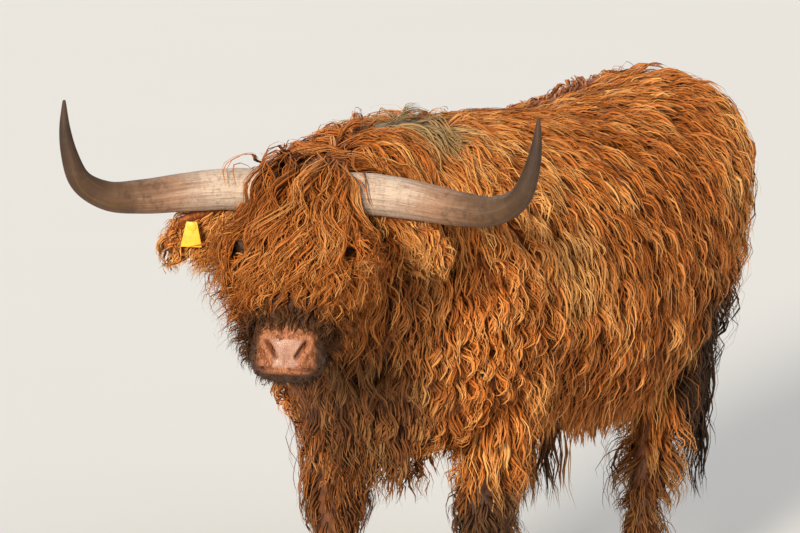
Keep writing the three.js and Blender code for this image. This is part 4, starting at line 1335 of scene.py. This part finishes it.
def strands(ground, roots, normals, grow, fine, rng, steps):
    """Each tuft's line, the ways up along it and its guide, and which tufts hang clear of the sight cones."""
    path, ups, mine, off_across, off_ahead, ahead, across, up = comb(ground, roots, normals, grow, rng)
    count = len(roots)
    part = rng.uniform(0.58, 1.0, count)
    s = np.linspace(0, 1, steps + 1)
    place = part[:, None] * s[None] * GUIDE_STEPS
    low = np.minimum(place.astype(int), GUIDE_STEPS - 1)
    share = (place - low)[:, :, None]

    def along(values):
        return values[mine[:, None], low] * (1 - share) + values[mine[:, None], low + 1] * share

    s = s[None, :, None]
    gather = 1 - grow["clump"][:, None, None] * ease(s, 0.05, 0.95)
    line = along(path)
    sideways, upward = unit(along(across)), unit(along(up))
    line = line + sideways * off_across[:, None, :] * gather
    line = line + along(ahead)[:, :1] * off_ahead[:, None, :] * (1 - 0.35 * s)
    layer = rng.uniform(-0.55, 0.15, count) + 0.3 * fine
    layer = (layer * grow["depth"] * grow["layer"])[:, None, None] * ease(s, 0.0, 0.5)
    line = line + upward * layer
    own = rng.uniform(0, 2 * math.pi, (count, 1, 1))
    turns = rng.uniform(0.5, 1.4, (count, 1, 1)) * 2 * math.pi * s
    loose = (grow["length"] * rng.uniform(0.0, 0.045, count))[:, None, None] * ease(s, 0.1, 1.0)
    line = line + loose * (np.sin(turns + own) * sideways + np.cos(1.3 * turns + own) * upward)

    line, clear = parted(line, sight_cones())
    spot, out = ground.nearest(line)
    height = dot(line - spot, out)
    least = 0.0022 * ease(s, 0.0, 0.3)
    line = line + out * np.maximum(least - height, 0) * (s > 0.02)
    line[:, :, 2] = np.maximum(line[:, :, 2], 0.003)
    return line[clear], unit(along(ups))[clear], mine[clear], clear


# The three corners of a tuft's section, as shares of its width: sideways and upwards.
SECTION = np.array([(-0.5, -0.04), (0.0, 0.11), (0.5, -0.04)])


def tuft_mesh(name, line, ups, wide, tone, marks, uv, rng):
    """One mesh of many closed tapered tufts, each with three sides and a tip."""
    count, rings, _ = line.shape
    _, across, up = frames(line, ups)
    roll = rng.normal(0, 0.5, (count, 1, 1))
    across, up = across * np.cos(roll) + up * np.sin(roll), up * np.cos(roll) - across * np.sin(roll)
    s = np.linspace(0, 1, rings)
    taper = np.interp(s, [0, 0.12, 0.45, 0.8, 1], [0.7, 1.0, 0.92, 0.55, 0.0])
    size = wide[:, None] * taper[None]
    body = line[:, :-1, None, :]
    scale = size[:, :-1, None, None]
    sideways, upward = SECTION[None, None, :, :1], SECTION[None, None, :, 1:]
    corners = body + scale * (sideways * across[:, :-1, None, :] + upward * up[:, :-1, None, :])
    per = 3 * (rings - 1) + 1
    verts = np.empty((count, per, 3), np.float32)
    verts[:, :-1] = corners.reshape(count, -1, 3)
    verts[:, -1] = line[:, -1]
    quads = []
    for i in range(rings - 2):
        for k in range(3):
            a, b = 3 * i + k, 3 * i + (k + 1) % 3
            quads.append((a, b, b + 3, a + 3))
    tip = [(3 * (rings - 2) + k, 3 * (rings - 2) + (k + 1) % 3, per - 1) for k in range(3)]
    faces = [*quads, *tip, (2, 1, 0)]
    pattern = np.array([v for face in faces for v in face])
    sizes = np.array([len(face) for face in faces])
    starts = np.arange(count)[:, None]
    loops = (pattern[None] + starts * per).ravel()
    totals = np.tile(sizes, count)
    mesh = bpy.data.meshes.new(name)
    mesh.vertices.add(count * per)
    mesh.vertices.foreach_set("co", verts.ravel())
    mesh.loops.add(len(loops))
    mesh.loops.foreach_set("vertex_index", loops.astype(np.int32))
    mesh.polygons.add(len(totals))
    mesh.polygons.foreach_set("loop_start", np.r_[0, np.cumsum(totals)[:-1]].astype(np.int32))
    mesh.polygons.foreach_set("use_smooth", np.ones(len(totals), bool))
    mesh.update(calc_edges=True)
    ring_of = np.r_[np.repeat(np.arange(rings - 1), 3), rings - 1] / (rings - 1)
    corner_of = np.r_[np.tile([0, 0.5, 1], rings - 1), 0.5]
    spots = np.stack([corner_of - 0.5, ring_of - 0.5], 1) * PATCH
    layer = mesh.uv_layers.new(name="OFBake")
    spread = (uv[:, None, :] + spots[None]).reshape(-1, 2)
    layer.data.foreach_set("uv", spread[loops].astype(np.float32).ravel())
    hair = np.empty((count, per, 3))
    hair[:, :, 0] = ring_of
    hair[:, :, 1] = tone[:, None]
    hair[:, :, 2] = corner_of
    store(mesh, "hair", hair.reshape(-1, 3))
    store(mesh, "markings", np.repeat(marks, per, axis=0))
    obj = bpy.data.objects.new(name, mesh)
    bpy.context.scene.collection.objects.link(obj)
    return obj


def coat_material(coat):
    paint = Paint("Coat")
    along, tone, across = paint.stored("hair")
    dark, dust, muzzle = paint.stored("markings")
    patch = paint.noise(2.6, 3).ease(0.32, 0.68)
    streaks = paint.node("ShaderNodeCombineXYZ", {}, across * 5, tone * 90, along * 2.0)
    fine = paint.noise(1.0, 3, 0.7, streaks)
    light = (tone * 0.85 + along * 0.40 + patch * 0.22 + (fine - 0.5) * 0.95 - 0.14).clamp()
    colour = paint.node(
        "ShaderNodeValToRGB",
        {"stops": [
            (0.0, coat.root), (0.3, [0.42 * c for c in coat.warm]), (0.58, coat.warm),
            (0.84, [0.5 * (a + b) for a, b in zip(coat.warm, coat.gold)]), (1.0, coat.gold),
        ]},
        light,
    )
    # Darker near the skin: painted shade between the tufts.
    shaded_near_skin = paint.mix((1 - along).ease(0.62, 1.0) * 0.6, colour, coat.root)
    # Nearly black hair, whose colour also paints shade on the chest, beside the head, on the far foreleg and
    # round the eyes.
    dark_and_shade = paint.mix(tone.ease(0.75, 1.0) * 0.5, coat.dark, (0.12, 0.07, 0.04))
    mixed = paint.mix((dark + fine * 0.3 - 0.15).clamp() * dark.ease(0.02, 0.2), shaded_near_skin, dark_and_shade)
    dusty = paint.mix((dust * 0.9 + tone * 0.4 - 0.45).clamp() * dust.ease(0.0, 0.3), mixed, coat.dust)
    short = paint.mix(tone, (0.20, 0.055, 0.022), (0.50, 0.21, 0.095))
    colour = paint.mix(muzzle * (1 - dark.ease(0.2, 0.6)), dusty, short)
    return paint.finish(
        colour, 0.44 + fine * 0.2, paint.bump(fine, 0.0012, 0.7), Specular_IOR_Level=0.22,
        Specular_Tint=(1.0, 0.80, 0.55, 1.0),
    )


class COW_OT_coat(bpy.types.Operator):
    """Make the coat from thin tufts that lie over the skin, one piece for each part of the body"""

    bl_idname = "cow.coat"
    bl_label = "Coat"

    def execute(self, context):
        settings = context.scene.cow_coat
        skin = bpy.data.objects.get("skin")
        if skin is None:
            raise RuntimeError("the coat needs the skin: make the skin first")
        rng = np.random.default_rng(settings.seed)
        roots, normals, uv, area = sample_skin(skin, rng, SAMPLES)
        grow = Growth(roots, normals).map
        keep = rng.random(len(roots)) < settings.density * grow["density"] * area / len(roots)
        roots, normals, uv = roots[keep], normals[keep], uv[keep]
        grow = {key: value[keep] for key, value in grow.items()}
        grow["length"] = grow["length"] * settings.length
        root = context.scene.cow_horns.root / MM
        ground = Ground(skin, [horn_form(mirror, root).rings(32) for mirror in SIDES.values()])
        material = coat_material(settings)
        for number, (name, (steps, most, nodes)) in enumerate(COAT_PIECES.items()):
            # Each piece has random numbers of its own, so that a change in one leaves the others alone.
            rng = np.random.default_rng([settings.seed, number])
            mine = np.flatnonzero(grow["name"] == name)
            mine = np.sort(rng.permutation(mine)[:most])
            part = {key: value[mine] for key, value in grow.items()}
            fine = rng.random(len(mine)) < 0.5
            line, ups, guide, clear = strands(ground, roots[mine], normals[mine], part, fine, rng, steps)
            if name.startswith(("face", "forelock", "mane")):
                room = 0.05 if name.startswith("forelock") else 0.005
                off_horns = clear_of_horns(line, room)
                line, ups, guide = line[off_horns], ups[off_horns], guide[off_horns]
                clear[clear] = off_horns
            mine, fine = mine[clear], fine[clear]
            tone = self.tone(name, grow["pale"][mine], guide, fine, rng)
            wide = grow["wide"][mine] * np.where(fine, 0.62, 1.75) * rng.uniform(0.7, 1.25, len(mine))
            obj = tuft_mesh(f"coat_{name}", line, ups, wide, tone, grow["marks"][mine], uv[mine], rng)
            finish_piece(obj, nodes, material)
        return {"FINISHED"}

    def tone(self, name, pale, guide, fine, rng):
        """How light each tuft is, from 0 to 1. Tufts that share a guide are much alike."""
        group = rng.random(guide.max() + 1)[guide]
        tone = 0.45 * rng.random(len(guide)) + 0.45 * group + 0.22 * pale + 0.1 * fine
        tone = tone - 0.11 * name.startswith(("face", "forelock"))
        # On the ears and in the middle of the patch behind the shoulder the tufts are lighter still; on the ears
        # partly as painted sunlight.
        return np.clip(tone + 0.3 * (pale > 0.85), 0, 1)


# For each piece the steps of its tufts, the most tufts it may have, and the nodes it stands for.
COAT_PIECES = {
    "face_left": (6, 3200, ["head"]),
    "face_right": (6, 3200, ["head"]),
    "forelock_left": (13, 2200, ["head"]),
    "forelock_right": (13, 1700, ["head"]),
    "mane_left": (9, 2250, ["neck"]),
    "mane_right": (9, 1350, ["neck"]),
    "fore_legs": (6, 4200, ["fore_left_upper_leg", "fore_right_upper_leg"]),
    "hind_legs": (6, 3800, ["hind_left_upper_leg", "hind_right_upper_leg"]),
    "tail": (9, 1150, ["tail_switch"]),
    "left_shoulder": (7, 4700, ["torso"]),
    "left_flank": (5, 5500, ["torso"]),
    "right_shoulder": (6, 2300, ["torso"]),
    "right_flank": (5, 2600, ["torso"]),
}

# ---------------------------------------------------------------- horns, eyes, hooves and tag


def horn_material(horns):
    paint = Paint("Horn")
    along, grain_x, grain_y = paint.stored("grain")
    around = paint.node("ShaderNodeCombineXYZ", {}, grain_x * 9.0, grain_y * 9.0, along * 2.2)
    streak = paint.noise(1.0, 5, 0.65, around)
    spots = paint.noise(28, 5, 0.6)
    ring = paint.node("ShaderNodeCombineXYZ", {}, grain_x * 0.8, grain_y * 0.8, along * 34)
    rings = paint.noise(1.0, 3, 0.5, ring)
    place = (along + streak * 0.30 - 0.15 + spots * 0.12 - 0.06).clamp()
    colour = paint.node(
        "ShaderNodeValToRGB",
        {"stops": [
            (0.0, horns.cream), (0.20, [0.85 * c for c in horns.cream]), (0.36, horns.rose),
            (0.50, (0.13, 0.065, 0.032)), (0.64, [0.5 * c for c in horns.brown]), (0.90, (0.026, 0.014, 0.009)),
            (1.0, (0.06, 0.03, 0.018)),
        ]},
        place,
    )
    stripe = streak.ease(0.50, 0.72) * 0.6 * (1 - along.ease(0.4, 0.65))
    colour = paint.mix(stripe, colour, [0.5 * c for c in horns.rose])
    colour = paint.mix(rings.ease(0.42, 0.78) * (1 - along) * 0.45, colour, (0.25, 0.165, 0.11))
    thin = paint.node("ShaderNodeCombineXYZ", {}, grain_x * 60, grain_y * 60, along * 9)
    fine = paint.noise(1.0, 4, 0.7, thin)
    colour = paint.mix(fine.ease(0.50, 0.62) * 0.5, colour, (0.085, 0.045, 0.028))
    dirt = paint.noise(120, 5, 0.75).ease(0.50, 0.62) * (1 - along.ease(0.3, 0.6))
    colour = paint.mix(dirt * 0.5, colour, (0.20, 0.13, 0.09))
    cloud = paint.noise(44, 5, 0.7).ease(0.48, 0.62) * along.ease(0.25, 0.5)
    colour = paint.mix(cloud * 0.6, colour, (0.055, 0.028, 0.017))
    ochre = streak.ease(0.52, 0.64) * along.ease(0.4, 0.6)
    colour = paint.mix(ochre * 0.35, colour, (0.15, 0.085, 0.035))
    height = streak * 0.6 + rings * (1.1 - along) + fine * 0.5
    return paint.finish(colour, 0.44 + spots * 0.22, paint.bump(height, 0.0018, 0.7), Specular_IOR_Level=0.25)


class COW_OT_horns(bpy.types.Operator):
    """Make the two horns, ridged at the root and smooth at the tip"""

    bl_idname = "cow.horns"
    bl_label = "Horns"

    def execute(self, context):
        settings = context.scene.cow_horns
        material = horn_material(settings)
        for side, mirror in SIDES.items():
            form = horn_form(mirror, settings.root / MM)
            obj = tube(f"horn_{side}_piece", form.rings(32))
            apply_modifier(obj, "SUBSURF", levels=1, render_levels=1)
            points = places(obj.data)
            t, turn, x, _ = form.locate(points)
            ridge = np.sin(t * form.length / 0.011 + 2 * np.sin(3 * turn)) * (1 - ease(t, 0.05, 0.42))
            put(obj.data, points + vertex_normals(obj.data) * (0.00055 * ridge)[:, None])
            swing = turn * np.sign(x)
            store(obj.data, "grain", np.stack([t, np.cos(swing) * 0.5 + 0.5, np.sin(swing) * 0.5 + 0.5], 1))
            smooth(obj)
            finish_piece(obj, [f"horn_{side}"], material)
        return {"FINISHED"}


def eye_material(eyes):
    paint = Paint("Eye")
    pupil, rim, _ = paint.stored("look")
    fibres = paint.noise(500, 3)
    colour = paint.mix(fibres, [0.5 * c for c in eyes.iris], eyes.iris)
    colour = paint.mix(pupil, colour, (0.002, 0.002, 0.003))
    colour = paint.mix(rim, colour, (0.16, 0.10, 0.08))
    return paint.finish(
        colour, 0.10 + rim * 0.2, None, Specular_IOR_Level=0.35, Coat_Weight=0.25, Coat_Roughness=0.03
    )


class COW_OT_eyes(bpy.types.Operator):
    """Make the two eyes, with their level pupils"""

    bl_idname = "cow.eyes"
    bl_label = "Eyes"

    def execute(self, context):
        settings = context.scene.cow_eyes
        material = eye_material(settings)
        for side, mirror in SIDES.items():
            centre, look, across, up = eye_frame(mirror)
            deselect()
            bpy.ops.mesh.primitive_uv_sphere_add(
                segments=40, ring_count=24, radius=settings.radius, location=centre
            )
            obj = bpy.context.object
            obj.name = f"eye_{side}_piece"
            settle(obj)
            off = unit(places(obj.data) - centre)
            x, y, z = off @ across, off @ up, off @ look
            bulge = np.clip(z - 0.82, 0, 1) * 0.09
            put(obj.data, centre + off * (settings.radius * (1 + bulge))[:, None])
            pupil = (1 - ease(np.hypot(x / 0.34, y / 0.17), 0.9, 1.1)) * (z > 0)
            rim = 1 - (1 - ease(np.hypot(x, y), 0.72, 0.85)) * (z > 0)
            store(obj.data, "look", np.stack([pupil, rim], 1))
            smooth(obj)
            finish_piece(obj, [f"eye_{side}"], material)
        return {"FINISHED"}


def hoof_material(hooves):
    paint = Paint("Hoof")
    layers = paint.noise(1.0, 4, 0.6, paint.stretched((18, 18, 420)))
    wear = paint.noise(45, 4, 0.6)
    low = paint.node("ShaderNodeSeparateXYZ", {}, paint.object, out="Z")
    muddy = (wear.ease(0.42, 0.62) * (1 - low.ease(0.0, 0.07)) + layers.ease(0.6, 0.75) * 0.3).clamp()
    colour = paint.mix(layers, hooves.horn, [2.2 * c for c in hooves.horn])
    colour = paint.mix(muddy, colour, hooves.mud)
    bump = paint.bump(layers + wear * 0.6, 0.0014, 0.7)
    return paint.finish(colour, 0.5 + muddy * 0.4, bump, Specular_IOR_Level=0.3)


def claw_rings(low, high, outer):
    """A claw in its box: upright walls that lean back to the coronet, flat under, with a point in front."""
    size, middle = high - low, (high + low) / 2
    c, s = circle(28)
    bent_c, bent_s = bent(c, 0.8), bent(s, 0.9)
    rings = []
    for rise, wide, front, rear in [
        (0.0, 0.84, 0.93, 0.94), (0.06, 0.95, 0.99, 0.99), (0.3, 1.0, 0.95, 1.0), (0.62, 0.97, 0.78, 0.96),
        (0.9, 0.90, 0.62, 0.90), (1.12, 0.72, 0.48, 0.78),
    ]:
        reach = np.where(bent_s < 0, front, rear) * size[1] / 2
        narrow = 1 - 0.42 * np.clip(-bent_s, 0, 1) ** 2.2
        toed = -outer * 0.16 * np.clip(-bent_s, 0, 1) ** 2
        x = middle[0] + (bent_c * narrow + toed) * wide * size[0] / 2
        rings.append(np.stack([x, middle[1] + bent_s * reach, np.full(len(c), low[2] + rise * size[2])], 1))
    return rings


def dewclaw_rings(low, high):
    """A dewclaw in its box: a blunt cone that points down and back."""
    size, middle = high - low, (high + low) / 2
    c, s = circle(16)
    rings = []
    for rise, wide, back in [
        (0.04, 0.34, 0.28), (0.12, 0.62, 0.2), (0.4, 0.95, 0.06), (0.75, 1.0, -0.1), (1.05, 0.7, -0.3),
    ]:
        x = middle[0] + c * wide * size[0] / 2
        y = middle[1] + back * size[1] * 0.5 + s * wide * size[1] / 2
        rings.append(np.stack([x, y, np.full(len(c), low[2] + rise * size[2])], 1))
    return rings


class COW_OT_hooves(bpy.types.Operator):
    """Make the claws and dewclaws of the four feet"""

    bl_idname = "cow.hooves"
    bl_label = "Hooves"

    def execute(self, context):
        material = hoof_material(context.scene.cow_hooves)
        for foot in STEPS:
            parts, nodes = [], []
            mirror = SIDES[foot.split("_")[1]]
            for place, outer in (("outer", mirror), ("inner", -mirror)):
                low, high = (np.array(corner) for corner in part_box(f"{foot}_claw_{place}"))
                parts.append(tube("claw", claw_rings(low, high, outer)))
                apply_modifier(parts[-1], "SUBSURF", levels=1, render_levels=1)
                low, high = (np.array(corner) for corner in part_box(f"{foot}_dewclaw_{place}"))
                parts.append(tube("dewclaw", dewclaw_rings(low, high)))
                nodes += [f"{foot}_claw_{place}", f"{foot}_dewclaw_{place}"]
            obj = joined(f"{foot}_hoof", parts)
            activate(obj)
            bpy.ops.object.shade_smooth_by_angle(angle=math.radians(50))
            finish_piece(obj, nodes, material)
        return {"FINISHED"}


class COW_OT_tag(bpy.types.Operator):
    """Make the plain ear tag with its pin and button"""

    bl_idname = "cow.tag"
    bl_label = "Ear tag"

    def execute(self, context):
        settings = context.scene.cow_tag
        wide, tall, thick = settings.wide, settings.tall, settings.thick
        deselect()
        bpy.ops.mesh.primitive_cube_add(
            size=1, location=(0, -thick / 2, -0.32 * tall), scale=(wide, thick, tall)
        )
        tab = bpy.context.object
        settle(tab)
        points = places(tab.data)
        points[:, 0] *= np.where(points[:, 2] > 0, 0.5, 1)
        put(tab.data, points)
        apply_modifier(tab, "BEVEL", width=0.006, segments=4, limit_method="ANGLE", affect="EDGES")
        deselect()
        bpy.ops.mesh.primitive_cylinder_add(
            radius=0.004, depth=0.056, vertices=20, location=(0, 0.025, 0), rotation=(math.pi / 2, 0, 0)
        )
        pin = bpy.context.object
        settle(pin)
        discs = []
        for y, radius in ((0.052, 0.013), (-0.0035, 0.0095)):
            deselect()
            bpy.ops.mesh.primitive_cylinder_add(
                radius=radius, depth=0.003, vertices=32, location=(0, y, 0), rotation=(math.pi / 2, 0, 0)
            )
            discs.append(bpy.context.object)
            settle(discs[-1])
            apply_modifier(discs[-1], "BEVEL", width=0.0009, segments=2, limit_method="ANGLE")
        obj = joined("ear_tag_piece", [tab, pin, *discs])
        place = np.array(upright(-226, 2, -78)) * MM
        turn = np.array(Matrix.Rotation(-HEAD_DROP, 3, "X"))
        put(obj.data, from_head(places(obj.data) @ turn.T + place))
        activate(obj)
        bpy.ops.object.shade_smooth_by_angle(angle=math.radians(40))
        paint = Paint("Tag")
        worn = paint.noise(140, 4, 0.6)
        dirt = paint.noise(38, 4, 0.6).ease(0.52, 0.72)
        colour = paint.mix(worn.ease(0.3, 0.8) * 0.25, settings.colour, [0.7 * c for c in settings.colour])
        colour = paint.mix(dirt * 0.45, colour, (0.30, 0.17, 0.05))
        material = paint.finish(colour, 0.42 + dirt * 0.25, paint.bump(worn, 0.0004, 0.4))
        finish_piece(obj, ["ear_tag"], material)
        return {"FINISHED"}


# ---------------------------------------------------------------- stage

# The camera's film and lens in millimetres, and how far left and up it stands of the line from the body's own
# origin, in metres.
FILM = 36
LENS = 211.5
CAMERA_LEFT = 0.24
CAMERA_UP = 0.833


def aim(obj, target):
    obj.rotation_mode = "QUATERNION"
    obj.rotation_quaternion = (obj.location - Vector(target)).to_track_quat("Z", "Y")


class COW_OT_stage(bpy.types.Operator):
    """Make the floor, the soft studio light and the camera"""

    bl_idname = "cow.stage"
    bl_label = "Stage"

    def execute(self, context):
        settings = context.scene.cow_stage
        deselect()
        bpy.ops.mesh.primitive_plane_add(size=400)
        floor = bpy.context.object
        floor.name = "floor"
        paint = Paint("Floor")
        cloud = paint.noise(0.8, 3)
        colour = paint.mix(cloud * 0.35, settings.floor, [0.93 * c for c in settings.floor])
        floor.data.materials.append(paint.finish(colour, 0.8, paint.bump(paint.noise(60, 3), 0.001, 0.2)))

        a, e = settings.turn, settings.rise
        behind = Vector((math.sin(a) * math.cos(e), -math.cos(a) * math.cos(e), math.sin(e)))
        right = Vector((math.cos(a), math.sin(a), 0))
        over = behind.cross(right)
        shift = Vector(SHIFT)
        lights = [
            ("key", -1.2 * right + 3.3 * behind + 1.2 * Vector(Z), 0.20, 4.6, (1.0, 0.92, 0.78)),
            ("fill", 4.2 * right + 1.6 * behind + 3.4 * Vector(Z), 0.9, 0.6, (1.0, 0.96, 0.90)),
            ("rim", -1.6 * right - 3.4 * behind + 3.6 * Vector(Z), 0.5, 0.9, (1.0, 0.96, 0.90)),
        ]
        for name, place, spread, power, colour in lights:
            light = bpy.data.lights.new(name, "SUN")
            light.angle = spread
            light.energy = power
            light.color = colour
            lamp = bpy.data.objects.new(name, light)
            context.scene.collection.objects.link(lamp)
            lamp.location = place + shift
            aim(lamp, shift + Vector((0, 0, 0.7)))
        world = bpy.data.worlds.new("Studio")
        world.use_nodes = True
        background = world.node_tree.nodes["Background"]
        background.inputs["Color"].default_value = (0.93, 0.96, 1.0, 1)
        background.inputs["Strength"].default_value = 0.46
        context.scene.world = world

        lens = bpy.data.cameras.new("camera")
        lens.sensor_width = FILM
        lens.lens = LENS
        lens.clip_end = 200
        camera = bpy.data.objects.new("camera", lens)
        context.scene.collection.objects.link(camera)
        camera.location = behind * settings.distance - right * CAMERA_LEFT + over * CAMERA_UP + shift
        camera.rotation_mode = "QUATERNION"
        camera.rotation_quaternion = behind.to_track_quat("Z", "Y")
        context.scene.camera = camera
        context.scene.view_settings.view_transform = "Standard"
        return {"FINISHED"}


# ---------------------------------------------------------------- panel

OPERATORS = [COW_OT_skin, COW_OT_coat, COW_OT_horns, COW_OT_eyes, COW_OT_hooves, COW_OT_tag, COW_OT_stage]


class COW_PT_panel(bpy.types.Panel):
    """The cow's settings and the buttons that make its pieces"""

    bl_idname = "COW_PT_panel"
    bl_label = "Highland Cow"
    bl_space_type = "VIEW_3D"
    bl_region_type = "UI"
    bl_category = "Highland Cow"

    def draw(self, context):
        for name in GROUPS:
            group = getattr(context.scene, name)
            box = self.layout.box()
            for key in group.bl_rna.properties.keys():
                if key not in {"rna_type", "name"}:
                    box.prop(group, key)
        for operator in OPERATORS:
            self.layout.operator(operator.bl_idname)


CLASSES = [*GROUPS.values(), *OPERATORS, COW_PT_panel]


def register():
    for cls in CLASSES:
        bpy.utils.register_class(cls)
    for name, group in GROUPS.items():
        setattr(bpy.types.Scene, name, bpy.props.PointerProperty(type=group))


def unregister():
    for name in GROUPS:
        delattr(bpy.types.Scene, name)
    for cls in reversed(CLASSES):
        bpy.utils.unregister_class(cls)


def main():
    register()
    bpy.ops.cow.skin()
    bpy.ops.cow.horns()
    bpy.ops.cow.coat()
    bpy.ops.cow.eyes()
    bpy.ops.cow.hooves()
    bpy.ops.cow.tag()
    bpy.ops.cow.stage()


if __name__ == "__main__":
    main()
